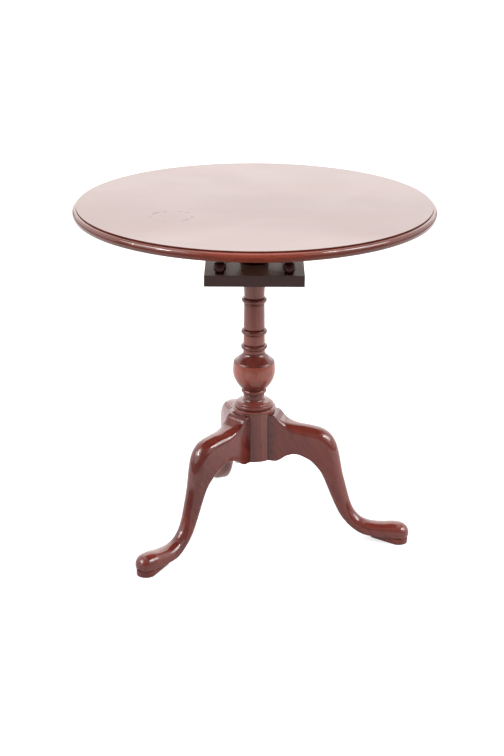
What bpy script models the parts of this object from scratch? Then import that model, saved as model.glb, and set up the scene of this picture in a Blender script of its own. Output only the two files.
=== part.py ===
"""Tilt-top tea table: a round top on a bird-cage block, a turned pillar and three cabriole legs.

The table stands on z = 0 with its pillar on the Z axis, and its front looks towards -Y.
Heights are stacked from the floor up, so a changed height moves whatever stands on it.
The cage swivels on the pillar's spindle, the top tilts on the cage's pintles, and a brass
bolt under the top slides into the cage to hold it flat. All lengths are in metres.
"""
import math

import bmesh
import bpy
from mathutils import Matrix, Vector

# Clearances
FIT = 0.0003
RUNNING_FIT = 0.0005
OVERCUT = 0.002

# Legs: a level of 1 is the pillar's bottom and a level of 2 is the top of the leg joint
LEG_AZIMUTHS = {"leg_right": -13.5, "leg_back": 108.5, "leg_left": 226.5}
LEG_REACH = 0.3345
LEG_CLEARANCE = 0.166
JOINT_HEIGHT = 0.102
LEG_WIDTH = 0.050
ANKLE_WIDTH = 0.033
TOE_WIDTH = 0.043
PAD_HEIGHT = 0.014
PAD_SINK = 0.003
PAD_INSET = 0.002
PAD_LENGTH = 0.050
PAD_HEEL_WIDTH = 0.022
DOVETAIL_DEPTH = 0.014
DOVETAIL_NECK = 0.014
DOVETAIL_END = 0.020
DOVETAIL_STOP = 0.014
DOVETAIL_LIFT = 0.0005

# Pillar, from the block that holds the legs up to the spindle
BLOCK_RADIUS = 0.044
BLOCK_RISE = 0.0055
BASE_RING_HEIGHT = 0.0055
BASE_RING_RADIUS = 0.0465
BASE_DOME_HEIGHT = 0.0145
BASE_DOME_RADIUS = 0.0415
BASE_DOME_TOP_RADIUS = 0.030
BASE_DOME_FULLNESS = 1.35
BASE_NECK_HEIGHT = 0.0095
BASE_NECK_RADIUS = 0.0228
BASE_NECK_SPREAD = 0.60
NECK_RING_HEIGHT = 0.013
NECK_RING_RADIUS = 0.027
NECK_RING_SHARE = 0.80
VASE_HEIGHT = 0.055
VASE_FOOT_RADIUS = 0.0258
VASE_RADIUS = 0.0441
VASE_SHOULDER_RADIUS = 0.0429
VASE_BELLY_SHARE = 0.745
VASE_FULLNESS = 2.6
VASE_CAP_HEIGHT = 0.026
VASE_CAP_RADIUS = 0.0416
VASE_CAP_FULLNESS = 0.8
SHAFT_LENGTH = 0.1684
SHAFT_FOOT_RADIUS = 0.0229
SHAFT_TOP_RADIUS = 0.0211
SHAFT_FLARE_SHARE = 0.715
SHAFT_FLARE_CURVE = 1.5
BEAD_SHARES = (0.062, 0.2527, 0.654)
BEAD_HEIGHT = 0.0145
BEAD_PROJECTION = 0.0047
BEAD_FULLNESS = 0.8
SHOULDER_RADIUS = 0.026
SPINDLE_RADIUS = 0.016
PIVOT_RADIUS = 0.011
PIVOT_RECESS = 0.003

# Cage
BOARD_SIDE = 0.199
LOWER_BOARD_THICKNESS = 0.023
CAGE_HEIGHT = 0.080
UPPER_BOARD_THICKNESS = 0.022
POST_SIDE_INSET = 0.031
POST_FRONT_INSET = 0.017
POST_TENON_RADIUS = 0.0065
POST_TENON_LENGTH = 0.013
POST_FOOT_RADIUS = 0.0095
POST_BULB_RADIUS = 0.0125
POST_NECK_RADIUS = 0.0060
POST_BODY_RADIUS = 0.0082
POST_RING_RADIUS = 0.0092
POST_CAP_RADIUS = 0.0105
POST_FOOT_SHARE = 0.03
POST_BULB_SHARE = 0.25
COLLAR_RADIUS = 0.029
COLLAR_HEIGHT = 0.012
COLLAR_ROUND = 0.004
WEDGE_THICKNESS = 0.008
WEDGE_HEAD_HEIGHT = 0.015
WEDGE_TAIL_HEIGHT = 0.009
WEDGE_HEAD_INSET = 0.038
WEDGE_TAIL_INSET = 0.064
PINTLE_RADIUS = 0.0075
PINTLE_LENGTH = 0.021

# Top and its cleats
TOP_DIAMETER = 0.727
TOP_THICKNESS = 0.020
RIM_WIDTH = 0.006
RIM_QUIRK = 0.0012
CLEAT_WIDTH = 0.026
CLEAT_HEIGHT = 0.024
CLEAT_PLAY = 0.001
CLEAT_SETBACK = 0.060
CLEAT_TIP_HEIGHT = 0.008
CLEAT_TAPER = 0.045
CLEAT_SCREW_INSET = 0.075
CLEAT_SCREW_RECESS = 0.006

# Brass catch under the top, and its strike plate in the cage
CATCH_PLATE_WIDTH = 0.036
CATCH_PLATE_LENGTH = 0.054
CATCH_PLATE_THICKNESS = 0.002
CATCH_PLATE_SETBACK = 0.004
CATCH_CASE_INSET = 0.004
CATCH_CASE_WALL = 0.0012
CATCH_FLANGE_WIDTH = 0.009
BOLT_WIDTH = 0.012
BOLT_HEIGHT = 0.006
BOLT_TIP_GAP = 0.0015
BOLT_TAIL = 0.004
BOLT_TRAVEL = 0.009
BOLT_CHAMFER = 0.001
SPRING_ROOM = 0.0022
SPRING_THICKNESS = 0.0005
SPRING_WIDTH = 0.008
SPRING_LENGTH = 0.034
KNOB_STEM_RADIUS = 0.002
KNOB_STEM_SOCKET = 0.004
KNOB_RADIUS = 0.0055
KNOB_NECK_RADIUS = 0.003
KNOB_FLANGE_RADIUS = 0.0042
KNOB_HEIGHT = 0.009
KNOB_BALL_SHARE = 0.76
STRIKE_WIDTH = 0.034
STRIKE_HEIGHT = 0.012
STRIKE_THICKNESS = 0.0015
STRIKE_PLAY = 0.0006
MORTISE_DEPTH = 0.012

# Iron brace under the pillar
BRACE_THICKNESS = 0.0025
BRACE_HUB_RADIUS = 0.024
BRACE_REACH = 0.053
BRACE_ARM_WIDTH = 0.020
BRACE_SCREW_INSET = 0.0085

# Screws
SCREW_RADIUS = 0.0018
SCREW_TIP = 0.004
SCREW_HEAD_RADIUS = 0.0038
SCREW_HEAD_HEIGHT = 0.0022
SCREW_SLOT_WIDTH = 0.0009
SCREW_SLOT_DEPTH = 0.001
BRACE_SCREW_LENGTH = 0.018
CLEAT_SCREW_LENGTH = 0.028
CATCH_SCREW_LENGTH = 0.013
STRIKE_SCREW_LENGTH = 0.013

# Number of sides on round pieces
PILLAR_SIDES = 32
TOP_SIDES = 64
POST_SIDES = 16
PIVOT_SIDES = 24
SCREW_SIDES = 14
LEG_CORNER_POINTS = 4

# Levels worked out from the sizes above
JOINT_TOP = LEG_CLEARANCE + JOINT_HEIGHT
BLOCK_TOP = JOINT_TOP + BLOCK_RISE
BASE_RING_TOP = BLOCK_TOP + BASE_RING_HEIGHT
BASE_DOME_TOP = BASE_RING_TOP + BASE_DOME_HEIGHT
BASE_NECK_TOP = BASE_DOME_TOP + BASE_NECK_HEIGHT
NECK_RING_TOP = BASE_NECK_TOP + NECK_RING_HEIGHT
VASE_TOP = NECK_RING_TOP + VASE_HEIGHT
VASE_CAP_TOP = VASE_TOP + VASE_CAP_HEIGHT
PILLAR_SHOULDER = VASE_CAP_TOP + SHAFT_LENGTH
LOWER_BOARD_BOTTOM = PILLAR_SHOULDER + FIT
LOWER_BOARD_TOP = LOWER_BOARD_BOTTOM + LOWER_BOARD_THICKNESS
UPPER_BOARD_BOTTOM = LOWER_BOARD_TOP + CAGE_HEIGHT
UPPER_BOARD_TOP = UPPER_BOARD_BOTTOM + UPPER_BOARD_THICKNESS
TOP_UNDERSIDE = UPPER_BOARD_TOP + FIT
TABLE_HEIGHT = TOP_UNDERSIDE + TOP_THICKNESS
COLLAR_BOTTOM = LOWER_BOARD_TOP + FIT
COLLAR_TOP = COLLAR_BOTTOM + COLLAR_HEIGHT
WEDGE_BOTTOM = COLLAR_TOP + FIT

# Places worked out from the sizes above
BOARD_HALF = BOARD_SIDE / 2
LEG_FLAT = math.sqrt(BLOCK_RADIUS ** 2 - (LEG_WIDTH / 2) ** 2)
HINGE_RADIUS = UPPER_BOARD_THICKNESS / 2
HINGE_Y = HINGE_RADIUS - BOARD_HALF
HINGE_Z = UPPER_BOARD_TOP - HINGE_RADIUS
POST_X = BOARD_HALF - POST_SIDE_INSET
POST_Y = BOARD_HALF - POST_FRONT_INSET
TOP_RADIUS = TOP_DIAMETER / 2
CLEAT_INNER = BOARD_HALF + CLEAT_PLAY
CLEAT_OUTER = CLEAT_INNER + CLEAT_WIDTH
CLEAT_HALF_LENGTH = math.sqrt(TOP_RADIUS ** 2 - CLEAT_OUTER ** 2) - CLEAT_SETBACK
CATCH_FRONT = BOARD_HALF + CATCH_PLATE_SETBACK
CATCH_PLATE_BOTTOM = TOP_UNDERSIDE - FIT - CATCH_PLATE_THICKNESS
CASE_TOP = CATCH_PLATE_BOTTOM - FIT
BOLT_TOP = CATCH_PLATE_BOTTOM - SPRING_ROOM
BOLT_BOTTOM = BOLT_TOP - BOLT_HEIGHT
BOLT_MIDDLE = (BOLT_TOP + BOLT_BOTTOM) / 2
CASE_FLOOR = BOLT_BOTTOM - FIT
CASE_BOTTOM = CASE_FLOOR - CATCH_CASE_WALL
CASE_FRONT = CATCH_FRONT + CATCH_CASE_INSET
CASE_BACK = CATCH_FRONT + CATCH_PLATE_LENGTH - CATCH_CASE_INSET
BOLT_TIP = BOARD_HALF + BOLT_TIP_GAP
BOLT_END = CASE_BACK + BOLT_TAIL
KNOB_Y = (CASE_FRONT + CASE_BACK + BOLT_TRAVEL) / 2

# Colours, roughness and metal of each finish
FINISHES = {
    "polished_mahogany": ((0.26, 0.075, 0.040), 0.22, 0.0),
    "dark_mahogany": ((0.085, 0.040, 0.032), 0.35, 0.0),
    "brass": ((0.62, 0.42, 0.16), 0.30, 1.0),
    "iron": ((0.055, 0.050, 0.048), 0.60, 1.0),
    "steel": ((0.42, 0.41, 0.40), 0.35, 1.0),
}

DOWN = Vector((0.0, 0.0, -1.0))
BACK = Vector((0.0, 1.0, 0.0))
LEVEL_OF_PAD = None

# Leg stations from the joint to the toe. Each holds the upper line's share of the reach and its
# level, the lower line's share and level, the swell (0 at the joint, 1 at the ankle, 2 at the toe),
# and how round the upper and lower corners are.
LEG_STATIONS = (
    (0.000, 2.000, 0.000, 1.000, 0.00, 0.06, 0.06),
    (0.045, 1.990, 0.052, 1.000, 0.00, 0.08, 0.06),
    (0.082, 1.905, 0.085, 1.040, 0.03, 0.35, 0.08),
    (0.127, 1.795, 0.132, 1.135, 0.06, 0.65, 0.10),
    (0.195, 1.742, 0.185, 1.183, 0.10, 0.72, 0.12),
    (0.285, 1.722, 0.229, 1.164, 0.17, 0.75, 0.15),
    (0.369, 1.673, 0.259, 1.125, 0.25, 0.75, 0.18),
    (0.426, 1.563, 0.284, 1.080, 0.35, 0.78, 0.25),
    (0.462, 1.410, 0.310, 1.020, 0.46, 0.80, 0.30),
    (0.485, 1.212, 0.334, 0.960, 0.58, 0.85, 0.40),
    (0.503, 0.985, 0.364, 0.880, 0.70, 0.90, 0.60),
    (0.518, 0.874, 0.387, 0.790, 0.78, 1.00, 0.80),
    (0.546, 0.684, 0.420, 0.628, 0.90, 1.00, 1.00),
    (0.577, 0.473, 0.475, 0.410, 1.00, 1.00, 1.00),
    (0.611, 0.361, 0.521, 0.274, 1.05, 1.00, 1.00),
    (0.657, 0.285, 0.584, 0.157, 1.20, 1.00, 0.90),
    (0.723, 0.241, 0.674, 0.080, 1.50, 1.00, 0.60),
    (0.806, 0.245, 0.783, LEVEL_OF_PAD, 1.85, 1.00, 0.50),
    (0.883, 0.267, 0.880, LEVEL_OF_PAD, 2.00, 1.00, 0.50),
    (0.943, 0.259, 0.943, LEVEL_OF_PAD, 2.00, 1.00, 0.50),
    (0.980, 0.224, 0.980, LEVEL_OF_PAD, 2.00, 1.00, 0.60),
    (0.998, 0.150, 0.997, 0.095, 2.00, 1.00, 1.00),
)

# Post stations above its bulb: the share of the post's height, and the radius there
POST_STATIONS = (
    (0.32, POST_RING_RADIUS),
    (0.36, POST_RING_RADIUS),
    (0.38, POST_NECK_RADIUS),
    (0.52, POST_BODY_RADIUS),
    (0.82, POST_NECK_RADIUS),
    (0.85, POST_RING_RADIUS),
    (0.89, POST_RING_RADIUS),
    (0.91, POST_NECK_RADIUS),
    (0.97, POST_CAP_RADIUS),
    (1.00, POST_CAP_RADIUS),
)


def clear_scene():
    """Empty the scene before the table is modelled."""
    for thing in list(bpy.data.objects):
        bpy.data.objects.remove(thing, do_unlink=True)


def make_finishes():
    """One Principled material for each finish in the table above."""
    materials = {}
    for name, (colour, roughness, metallic) in FINISHES.items():
        material = bpy.data.materials.new(name)
        material.use_nodes = True
        shader = material.node_tree.nodes["Principled BSDF"]
        shader.inputs["Base Color"].default_value = (*colour, 1.0)
        shader.inputs["Roughness"].default_value = roughness
        shader.inputs["Metallic"].default_value = metallic
        materials[name] = material
    return materials


def solid(name, points, faces):
    """A mesh object from points and faces, with every face pointing outwards."""
    mesh = bpy.data.meshes.new(name)
    mesh.from_pydata([tuple(point) for point in points], [], faces)
    shell = bmesh.new()
    shell.from_mesh(mesh)
    bmesh.ops.recalc_face_normals(shell, faces=shell.faces)
    shell.to_mesh(mesh)
    shell.free()
    thing = bpy.data.objects.new(name, mesh)
    bpy.context.scene.collection.objects.link(thing)
    return thing


def turned(name, profile, sides, hollow=False):
    """A profile of (radius, height) points turned about Z: bottom to top, or a closed loop if hollow."""
    points = []
    rings = []
    for radius, height in profile:
        if radius == 0.0:
            rings.append([len(points)] * sides)
            points.append((0.0, 0.0, height))
            continue
        rings.append(list(range(len(points), len(points) + sides)))
        for side in range(sides):
            angle = math.tau * side / sides
            points.append((radius * math.cos(angle), radius * math.sin(angle), height))
    pairs = list(zip(rings, rings[1:]))
    if hollow:
        pairs.append((rings[-1], rings[0]))
    faces = []
    for lower, upper in pairs:
        for side in range(sides):
            after = (side + 1) % sides
            corners = (lower[side], lower[after], upper[after], upper[side])
            faces.append(tuple(dict.fromkeys(corners)))
    return solid(name, points, faces)


def rod(name, radius, bottom, top, sides):
    """A plain round bar about Z, from one height to another."""
    return turned(name, [(0.0, bottom), (radius, bottom), (radius, top), (0.0, top)], sides)


def lofted(name, sections):
    """A skin over closed sections with equal numbers of points, capped at both ends."""
    count = len(sections[0])
    points = [point for section in sections for point in section]
    faces = [tuple(range(count)), tuple(range(len(points) - count, len(points)))]
    for ring in range(len(sections) - 1):
        start = ring * count
        for place in range(count):
            after = (place + 1) % count
            faces.append((start + place, start + after, start + count + after, start + count + place))
    return solid(name, points, faces)


def upright(name, outline, bottom, top):
    """An outline in X and Y carried up from one height to another."""
    return lofted(name, [[(x, y, height) for x, y in outline] for height in (bottom, top)])


def crosswise(name, outline, left, right):
    """An outline in Y and Z carried along X."""
    return lofted(name, [[(x, y, z) for y, z in outline] for x in (left, right)])


def lengthwise(name, outline, front, back):
    """An outline in X and Z carried along Y."""
    return lofted(name, [[(x, y, z) for x, z in outline] for y in (front, back)])


def box(name, low, high):
    """A box between two corners."""
    outline = ((low[0], low[1]), (high[0], low[1]), (high[0], high[1]), (low[0], high[1]))
    return upright(name, outline, low[2], high[2])


def place(thing, transform):
    """Move a solid by moving its mesh, so that its own origin stays where it was."""
    thing.data.transform(transform)
    thing.data.update()
    return thing


def shaped(body, tools, operation):
    """Cut tools out of a body, or join them to it, and delete the tools."""
    for tool in tools:
        tool.hide_render = True
        tool.display_type = "WIRE"
        change = body.modifiers.new(tool.name, "BOOLEAN")
        change.operation = operation
        change.solver = "EXACT"
        change.object = tool
    bpy.context.view_layer.update()
    graph = bpy.context.evaluated_depsgraph_get()
    before = body.data
    after = bpy.data.meshes.new_from_object(body.evaluated_get(graph))
    body.modifiers.clear()
    body.data = after
    after.name = body.name
    bpy.data.meshes.remove(before)
    for tool in tools:
        bpy.data.objects.remove(tool, do_unlink=True)
    return body


def cut(body, *tools):
    """Take tools away from a body."""
    return shaped(body, tools, "DIFFERENCE")


def joined(body, *tools):
    """Make a body and tools one solid."""
    return shaped(body, tools, "UNION")


def facing(direction, where):
    """The transform that turns +Z to a direction and moves the origin to a place."""
    return Matrix.Translation(where) @ direction.to_track_quat("Z", "Y").to_matrix().to_4x4()


def arc(centre, radius, start, end, steps):
    """Points along an arc, from one angle to another in degrees."""
    points = []
    for step in range(steps + 1):
        angle = math.radians(start + (end - start) * step / steps)
        points.append((centre[0] + radius * math.cos(angle), centre[1] + radius * math.sin(angle)))
    return points


def smooth(share):
    """A ramp from 0 to 1 that starts and ends level."""
    share = min(max(share, 0.0), 1.0)
    return share * share * (3.0 - 2.0 * share)


def mix(first, second, share):
    """A value part of the way from one to another."""
    return first + (second - first) * share


def bead(middle, height, neck, projection, steps=6):
    """A half-round bead on a turning: (radius, height) points from its lower to its upper edge."""
    points = []
    for step in range(steps + 1):
        turn = math.pi * step / steps
        radius = neck + projection * math.sin(turn) ** BEAD_FULLNESS
        points.append((radius, middle - height / 2 * math.cos(turn)))
    return points


# Pillar

def shaft_radius(share):
    """The shaft narrows to its upper third and flares out again under the cage."""
    if share < SHAFT_FLARE_SHARE:
        return mix(SHAFT_FOOT_RADIUS, SHAFT_TOP_RADIUS, share / SHAFT_FLARE_SHARE)
    flare = (share - SHAFT_FLARE_SHARE) / (1.0 - SHAFT_FLARE_SHARE)
    return mix(SHAFT_TOP_RADIUS, SHOULDER_RADIUS, flare ** SHAFT_FLARE_CURVE)


def base_profile():
    """The block for the legs, the base ring, the dome and the hollow neck above it."""
    ring_middle = (BLOCK_TOP + BASE_RING_TOP) / 2
    ring_bulge = BASE_RING_RADIUS - BLOCK_RADIUS
    points = [(0.0, LEG_CLEARANCE), (BLOCK_RADIUS, LEG_CLEARANCE), (BLOCK_RADIUS, BLOCK_TOP)]
    points += bead(ring_middle, BASE_RING_HEIGHT, BLOCK_RADIUS, ring_bulge, 4)[1:-1]
    dome_steps = 5
    for step in range(dome_steps + 1):
        share = step / dome_steps
        radius = mix(BASE_DOME_RADIUS, BASE_DOME_TOP_RADIUS, share ** BASE_DOME_FULLNESS)
        points.append((radius, mix(BASE_RING_TOP, BASE_DOME_TOP, share)))
    neck_foot = mix(BASE_NECK_RADIUS, BASE_DOME_TOP_RADIUS, BASE_NECK_SPREAD)
    neck_steps = 4
    for step in range(neck_steps + 1):
        share = step / neck_steps
        radius = mix(BASE_NECK_RADIUS, neck_foot, (1.0 - share) ** 2)
        points.append((radius, mix(BASE_DOME_TOP + FIT, BASE_NECK_TOP, share)))
    return points


def vase_profile():
    """The ring under the vase, its belly, and the ogee cap that runs into the shaft."""
    ring_height = NECK_RING_HEIGHT * NECK_RING_SHARE
    bulge = NECK_RING_RADIUS - BASE_NECK_RADIUS
    points = bead(BASE_NECK_TOP + ring_height / 2, ring_height, BASE_NECK_RADIUS, bulge)[1:]
    belly = NECK_RING_TOP + VASE_HEIGHT * VASE_BELLY_SHARE
    belly_steps = 9
    for step in range(belly_steps + 1):
        share = step / belly_steps
        radius = mix(VASE_FOOT_RADIUS, VASE_RADIUS, 1.0 - (1.0 - share) ** VASE_FULLNESS)
        points.append((radius, mix(NECK_RING_TOP, belly, share)))
    points.append((mix(VASE_RADIUS, VASE_SHOULDER_RADIUS, 0.3), mix(belly, VASE_TOP, 0.55)))
    points.append((VASE_SHOULDER_RADIUS, VASE_TOP))
    cap_steps = 7
    for step in range(cap_steps + 1):
        share = step / cap_steps
        radius = mix(VASE_CAP_RADIUS, SHAFT_FOOT_RADIUS, smooth(share ** VASE_CAP_FULLNESS))
        points.append((radius, mix(VASE_TOP + FIT, VASE_CAP_TOP, share)))
    return points


def shaft_profile():
    """The shaft with its three beads, and the flare that carries the cage."""
    points = []
    for share in BEAD_SHARES:
        middle = VASE_CAP_TOP + SHAFT_LENGTH * share
        points += bead(middle, BEAD_HEIGHT, shaft_radius(share), BEAD_PROJECTION)
    flare_steps = 4
    for step in range(flare_steps + 1):
        share = mix(SHAFT_FLARE_SHARE, 1.0, step / flare_steps)
        points.append((shaft_radius(share), VASE_CAP_TOP + SHAFT_LENGTH * share))
    return points


def spindle_profile():
    """The spindle through the cage, and the pivot at its end in the upper board."""
    spindle_top = UPPER_BOARD_BOTTOM - RUNNING_FIT
    pivot_top = UPPER_BOARD_TOP - PIVOT_RECESS
    return [
        (SPINDLE_RADIUS, PILLAR_SHOULDER),
        (SPINDLE_RADIUS, spindle_top),
        (PIVOT_RADIUS, spindle_top),
        (PIVOT_RADIUS, pivot_top),
        (0.0, pivot_top),
    ]


def wedge_height(x):
    """The wedge's height where it stands at x, rising from its tail to its head."""
    tail = WEDGE_TAIL_INSET - BOARD_HALF
    head = BOARD_HALF - WEDGE_HEAD_INSET
    return mix(WEDGE_TAIL_HEIGHT, WEDGE_HEAD_HEIGHT, (x - tail) / (head - tail))


def make_pillar():
    """One turning from the leg block to the pivot, with flats and dovetail sockets for the legs."""
    profile = base_profile() + vase_profile() + shaft_profile() + spindle_profile()
    pillar = turned("pillar", profile, PILLAR_SIDES)
    tools = []
    for name, azimuth in LEG_AZIMUTHS.items():
        turn = Matrix.Rotation(math.radians(azimuth), 4, "Z")
        half = LEG_WIDTH / 2 + FIT
        low = (LEG_FLAT, -half, LEG_CLEARANCE - OVERCUT)
        high = (BASE_RING_RADIUS + OVERCUT, half, JOINT_TOP + FIT)
        tools.append(place(box(name + "_housing", low, high), turn))
        outline = dovetail(FIT, OVERCUT)
        bottom = LEG_CLEARANCE - OVERCUT
        top = JOINT_TOP - DOVETAIL_STOP + FIT
        tools.append(place(upright(name + "_socket", outline, bottom, top), turn))
    half = WEDGE_THICKNESS / 2 + FIT
    reach = SPINDLE_RADIUS + OVERCUT
    slot_top = WEDGE_BOTTOM + wedge_height(SPINDLE_RADIUS) + FIT
    low = (-reach, -half, COLLAR_TOP - OVERCUT)
    tools.append(box("wedge_slot", low, (reach, half, slot_top)))
    return cut(pillar, *tools)


# Legs

def dovetail(grow, bite):
    """A dovetail's outline about the leg's line: its wide end inwards, its neck at the pillar's flat."""
    inner = LEG_FLAT - DOVETAIL_DEPTH - grow
    neck = DOVETAIL_NECK / 2 + grow
    end = DOVETAIL_END / 2 + grow
    outer = LEG_FLAT + FIT + bite
    return ((inner, -end), (LEG_FLAT, -neck), (outer, -neck), (outer, neck), (LEG_FLAT, neck), (inner, end))


def leg_height(level):
    """A height on the leg: levels up to 1 below the pillar, and up to 2 along the joint."""
    if level is LEVEL_OF_PAD:
        return PAD_HEIGHT - PAD_SINK
    if level <= 1.0:
        return level * LEG_CLEARANCE
    return LEG_CLEARANCE + (level - 1.0) * JOINT_HEIGHT


def leg_half_width(swell, outward):
    """Half the leg's width, from the joint to the ankle and the toe, whose end is round in plan."""
    if swell <= 1.0:
        width = mix(LEG_WIDTH, ANKLE_WIDTH, smooth(swell))
    else:
        width = mix(ANKLE_WIDTH, TOE_WIDTH, smooth(swell - 1.0))
    radius = TOE_WIDTH / 2
    past = outward - (LEG_REACH - radius)
    if past <= 0.0:
        return width / 2
    return min(width / 2, math.sqrt(max(radius ** 2 - past ** 2, (radius / 5) ** 2)))


def leg_section(station):
    """A rounded rectangle between the leg's upper and lower lines, square to the leg's plane."""
    upper_share, upper_level, lower_share, lower_level, swell, upper_round, lower_round = station
    shoulder = LEG_FLAT + FIT
    upper = Vector((mix(shoulder, LEG_REACH, upper_share), leg_height(upper_level)))
    lower = Vector((mix(shoulder, LEG_REACH, lower_share), leg_height(lower_level)))
    middle = (upper + lower) / 2
    half_height = (upper - lower).length / 2
    rise = (upper - lower).normalized()
    half_width = leg_half_width(swell, middle.x)
    least = min(half_width, half_height)
    corners = (
        (0.0, 1, 1, upper_round),
        (90.0, -1, 1, upper_round),
        (180.0, -1, -1, lower_round),
        (270.0, 1, -1, lower_round),
    )
    spacing = 90.0 / LEG_CORNER_POINTS
    section = []
    for start, side, end, roundness in corners:
        radius = roundness * least
        centre = (side * (half_width - radius), end * (half_height - radius))
        first = start + spacing / 2
        last = start + 90.0 - spacing / 2
        for across, along in arc(centre, radius, first, last, LEG_CORNER_POINTS - 1):
            spot = middle + rise * along
            section.append((spot.x, across, spot.y))
    return section


def pad_outline():
    """The foot pad in plan: a round toe drawn in to a small round heel."""
    toe = TOE_WIDTH / 2 - PAD_INSET
    heel = PAD_HEEL_WIDTH / 2
    toe_x = LEG_REACH - TOE_WIDTH / 2
    turn = 90.0 + math.degrees(math.asin((toe - heel) / PAD_LENGTH))
    points = arc((toe_x, 0.0), toe, -turn, turn, 12)
    return points + arc((toe_x - PAD_LENGTH, 0.0), heel, turn, 360.0 - turn, 6)


def make_leg(name, azimuth):
    """A cabriole leg with its dovetail tongue and the pad it stands on, all carved from one piece."""
    leg = lofted(name, [leg_section(station) for station in LEG_STATIONS])
    tongue_bottom = LEG_CLEARANCE + DOVETAIL_LIFT
    tongue = upright("tongue", dovetail(0.0, DOVETAIL_NECK), tongue_bottom, JOINT_TOP - DOVETAIL_STOP)
    pad = upright("pad", pad_outline(), 0.0, PAD_HEIGHT)
    joined(leg, tongue, pad)
    leg.rotation_euler.z = math.radians(azimuth)
    bpy.context.view_layer.update()
    return leg


# Cage

def make_collar():
    """A turned ring round the spindle: the wedge presses it down on the lower board."""
    bore = SPINDLE_RADIUS + FIT
    rounding = arc((COLLAR_RADIUS - COLLAR_ROUND, COLLAR_TOP - COLLAR_ROUND), COLLAR_ROUND, 0, 90, 3)
    profile = [(COLLAR_RADIUS, COLLAR_BOTTOM), *rounding, (bore, COLLAR_TOP), (bore, COLLAR_BOTTOM)]
    return turned("collar", profile, PIVOT_SIDES, hollow=True)


def make_wedge():
    """The tapered key driven through the spindle, above the collar."""
    tail = WEDGE_TAIL_INSET - BOARD_HALF
    head = BOARD_HALF - WEDGE_HEAD_INSET
    outline = (
        (tail, WEDGE_BOTTOM),
        (head, WEDGE_BOTTOM),
        (head, WEDGE_BOTTOM + WEDGE_HEAD_HEIGHT),
        (tail, WEDGE_BOTTOM + WEDGE_TAIL_HEIGHT),
    )
    return lengthwise("wedge", outline, -WEDGE_THICKNESS / 2, WEDGE_THICKNESS / 2)


def post_places():
    """Where the four posts stand, with their names."""
    return {
        "post_front_left": (-POST_X, -POST_Y),
        "post_front_right": (POST_X, -POST_Y),
        "post_back_left": (-POST_X, POST_Y),
        "post_back_right": (POST_X, POST_Y),
    }


def post_holes(bottom, top):
    """Cutters for the posts' tenons between two heights."""
    holes = []
    for name, (x, y) in post_places().items():
        hole = rod(name + "_hole", POST_TENON_RADIUS + FIT, bottom, top, POST_SIDES)
        holes.append(place(hole, Matrix.Translation((x, y, 0.0))))
    return holes


def make_lower_board():
    """The square board that turns on the pillar's shoulder."""
    low = (-BOARD_HALF, -BOARD_HALF, LOWER_BOARD_BOTTOM)
    board = box("cage_lower_board", low, (BOARD_HALF, BOARD_HALF, LOWER_BOARD_TOP))
    bottom = LOWER_BOARD_BOTTOM - OVERCUT
    top = LOWER_BOARD_TOP + OVERCUT
    hole = rod("spindle_hole", SPINDLE_RADIUS + RUNNING_FIT, bottom, top, PIVOT_SIDES)
    return cut(board, hole, *post_holes(LOWER_BOARD_TOP - POST_TENON_LENGTH - FIT, top))


def make_upper_board():
    """The board under the top: a rounded hinge edge with two pintles, and a mortise for the bolt."""
    outline = arc((HINGE_Y, HINGE_Z), HINGE_RADIUS, 90, 270, 10)
    outline += [(BOARD_HALF, UPPER_BOARD_BOTTOM), (BOARD_HALF, UPPER_BOARD_TOP)]
    board = crosswise("cage_upper_board", outline, -BOARD_HALF, BOARD_HALF)
    pintles = []
    for name, side in (("pintle_left", -1.0), ("pintle_right", 1.0)):
        pintle = rod(name, PINTLE_RADIUS, -PINTLE_RADIUS, PINTLE_LENGTH, PIVOT_SIDES)
        outward = Vector((side, 0.0, 0.0))
        pintles.append(place(pintle, facing(outward, (side * BOARD_HALF, HINGE_Y, HINGE_Z))))
    joined(board, *pintles)
    bottom = UPPER_BOARD_BOTTOM - OVERCUT
    top = UPPER_BOARD_TOP + OVERCUT
    hole = rod("pivot_hole", PIVOT_RADIUS + RUNNING_FIT, bottom, top, PIVOT_SIDES)
    recess = strike_box("recess", STRIKE_WIDTH / 2 + FIT, STRIKE_HEIGHT / 2 + FIT, STRIKE_THICKNESS + FIT)
    mortise = strike_box("mortise", *window_half_sizes(), MORTISE_DEPTH)
    tenon_holes = post_holes(bottom, UPPER_BOARD_BOTTOM + POST_TENON_LENGTH + FIT)
    return cut(board, hole, recess, mortise, *tenon_holes)


def window_half_sizes():
    """Half the width and height of the opening that the bolt slides into."""
    return BOLT_WIDTH / 2 + STRIKE_PLAY, BOLT_HEIGHT / 2 + STRIKE_PLAY


def strike_box(name, half_width, half_height, depth):
    """A box sunk into the upper board's back edge, centred on the bolt."""
    low = (-half_width, BOARD_HALF - depth, BOLT_MIDDLE - half_height)
    return box(name, low, (half_width, BOARD_HALF + OVERCUT, BOLT_MIDDLE + half_height))


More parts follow.
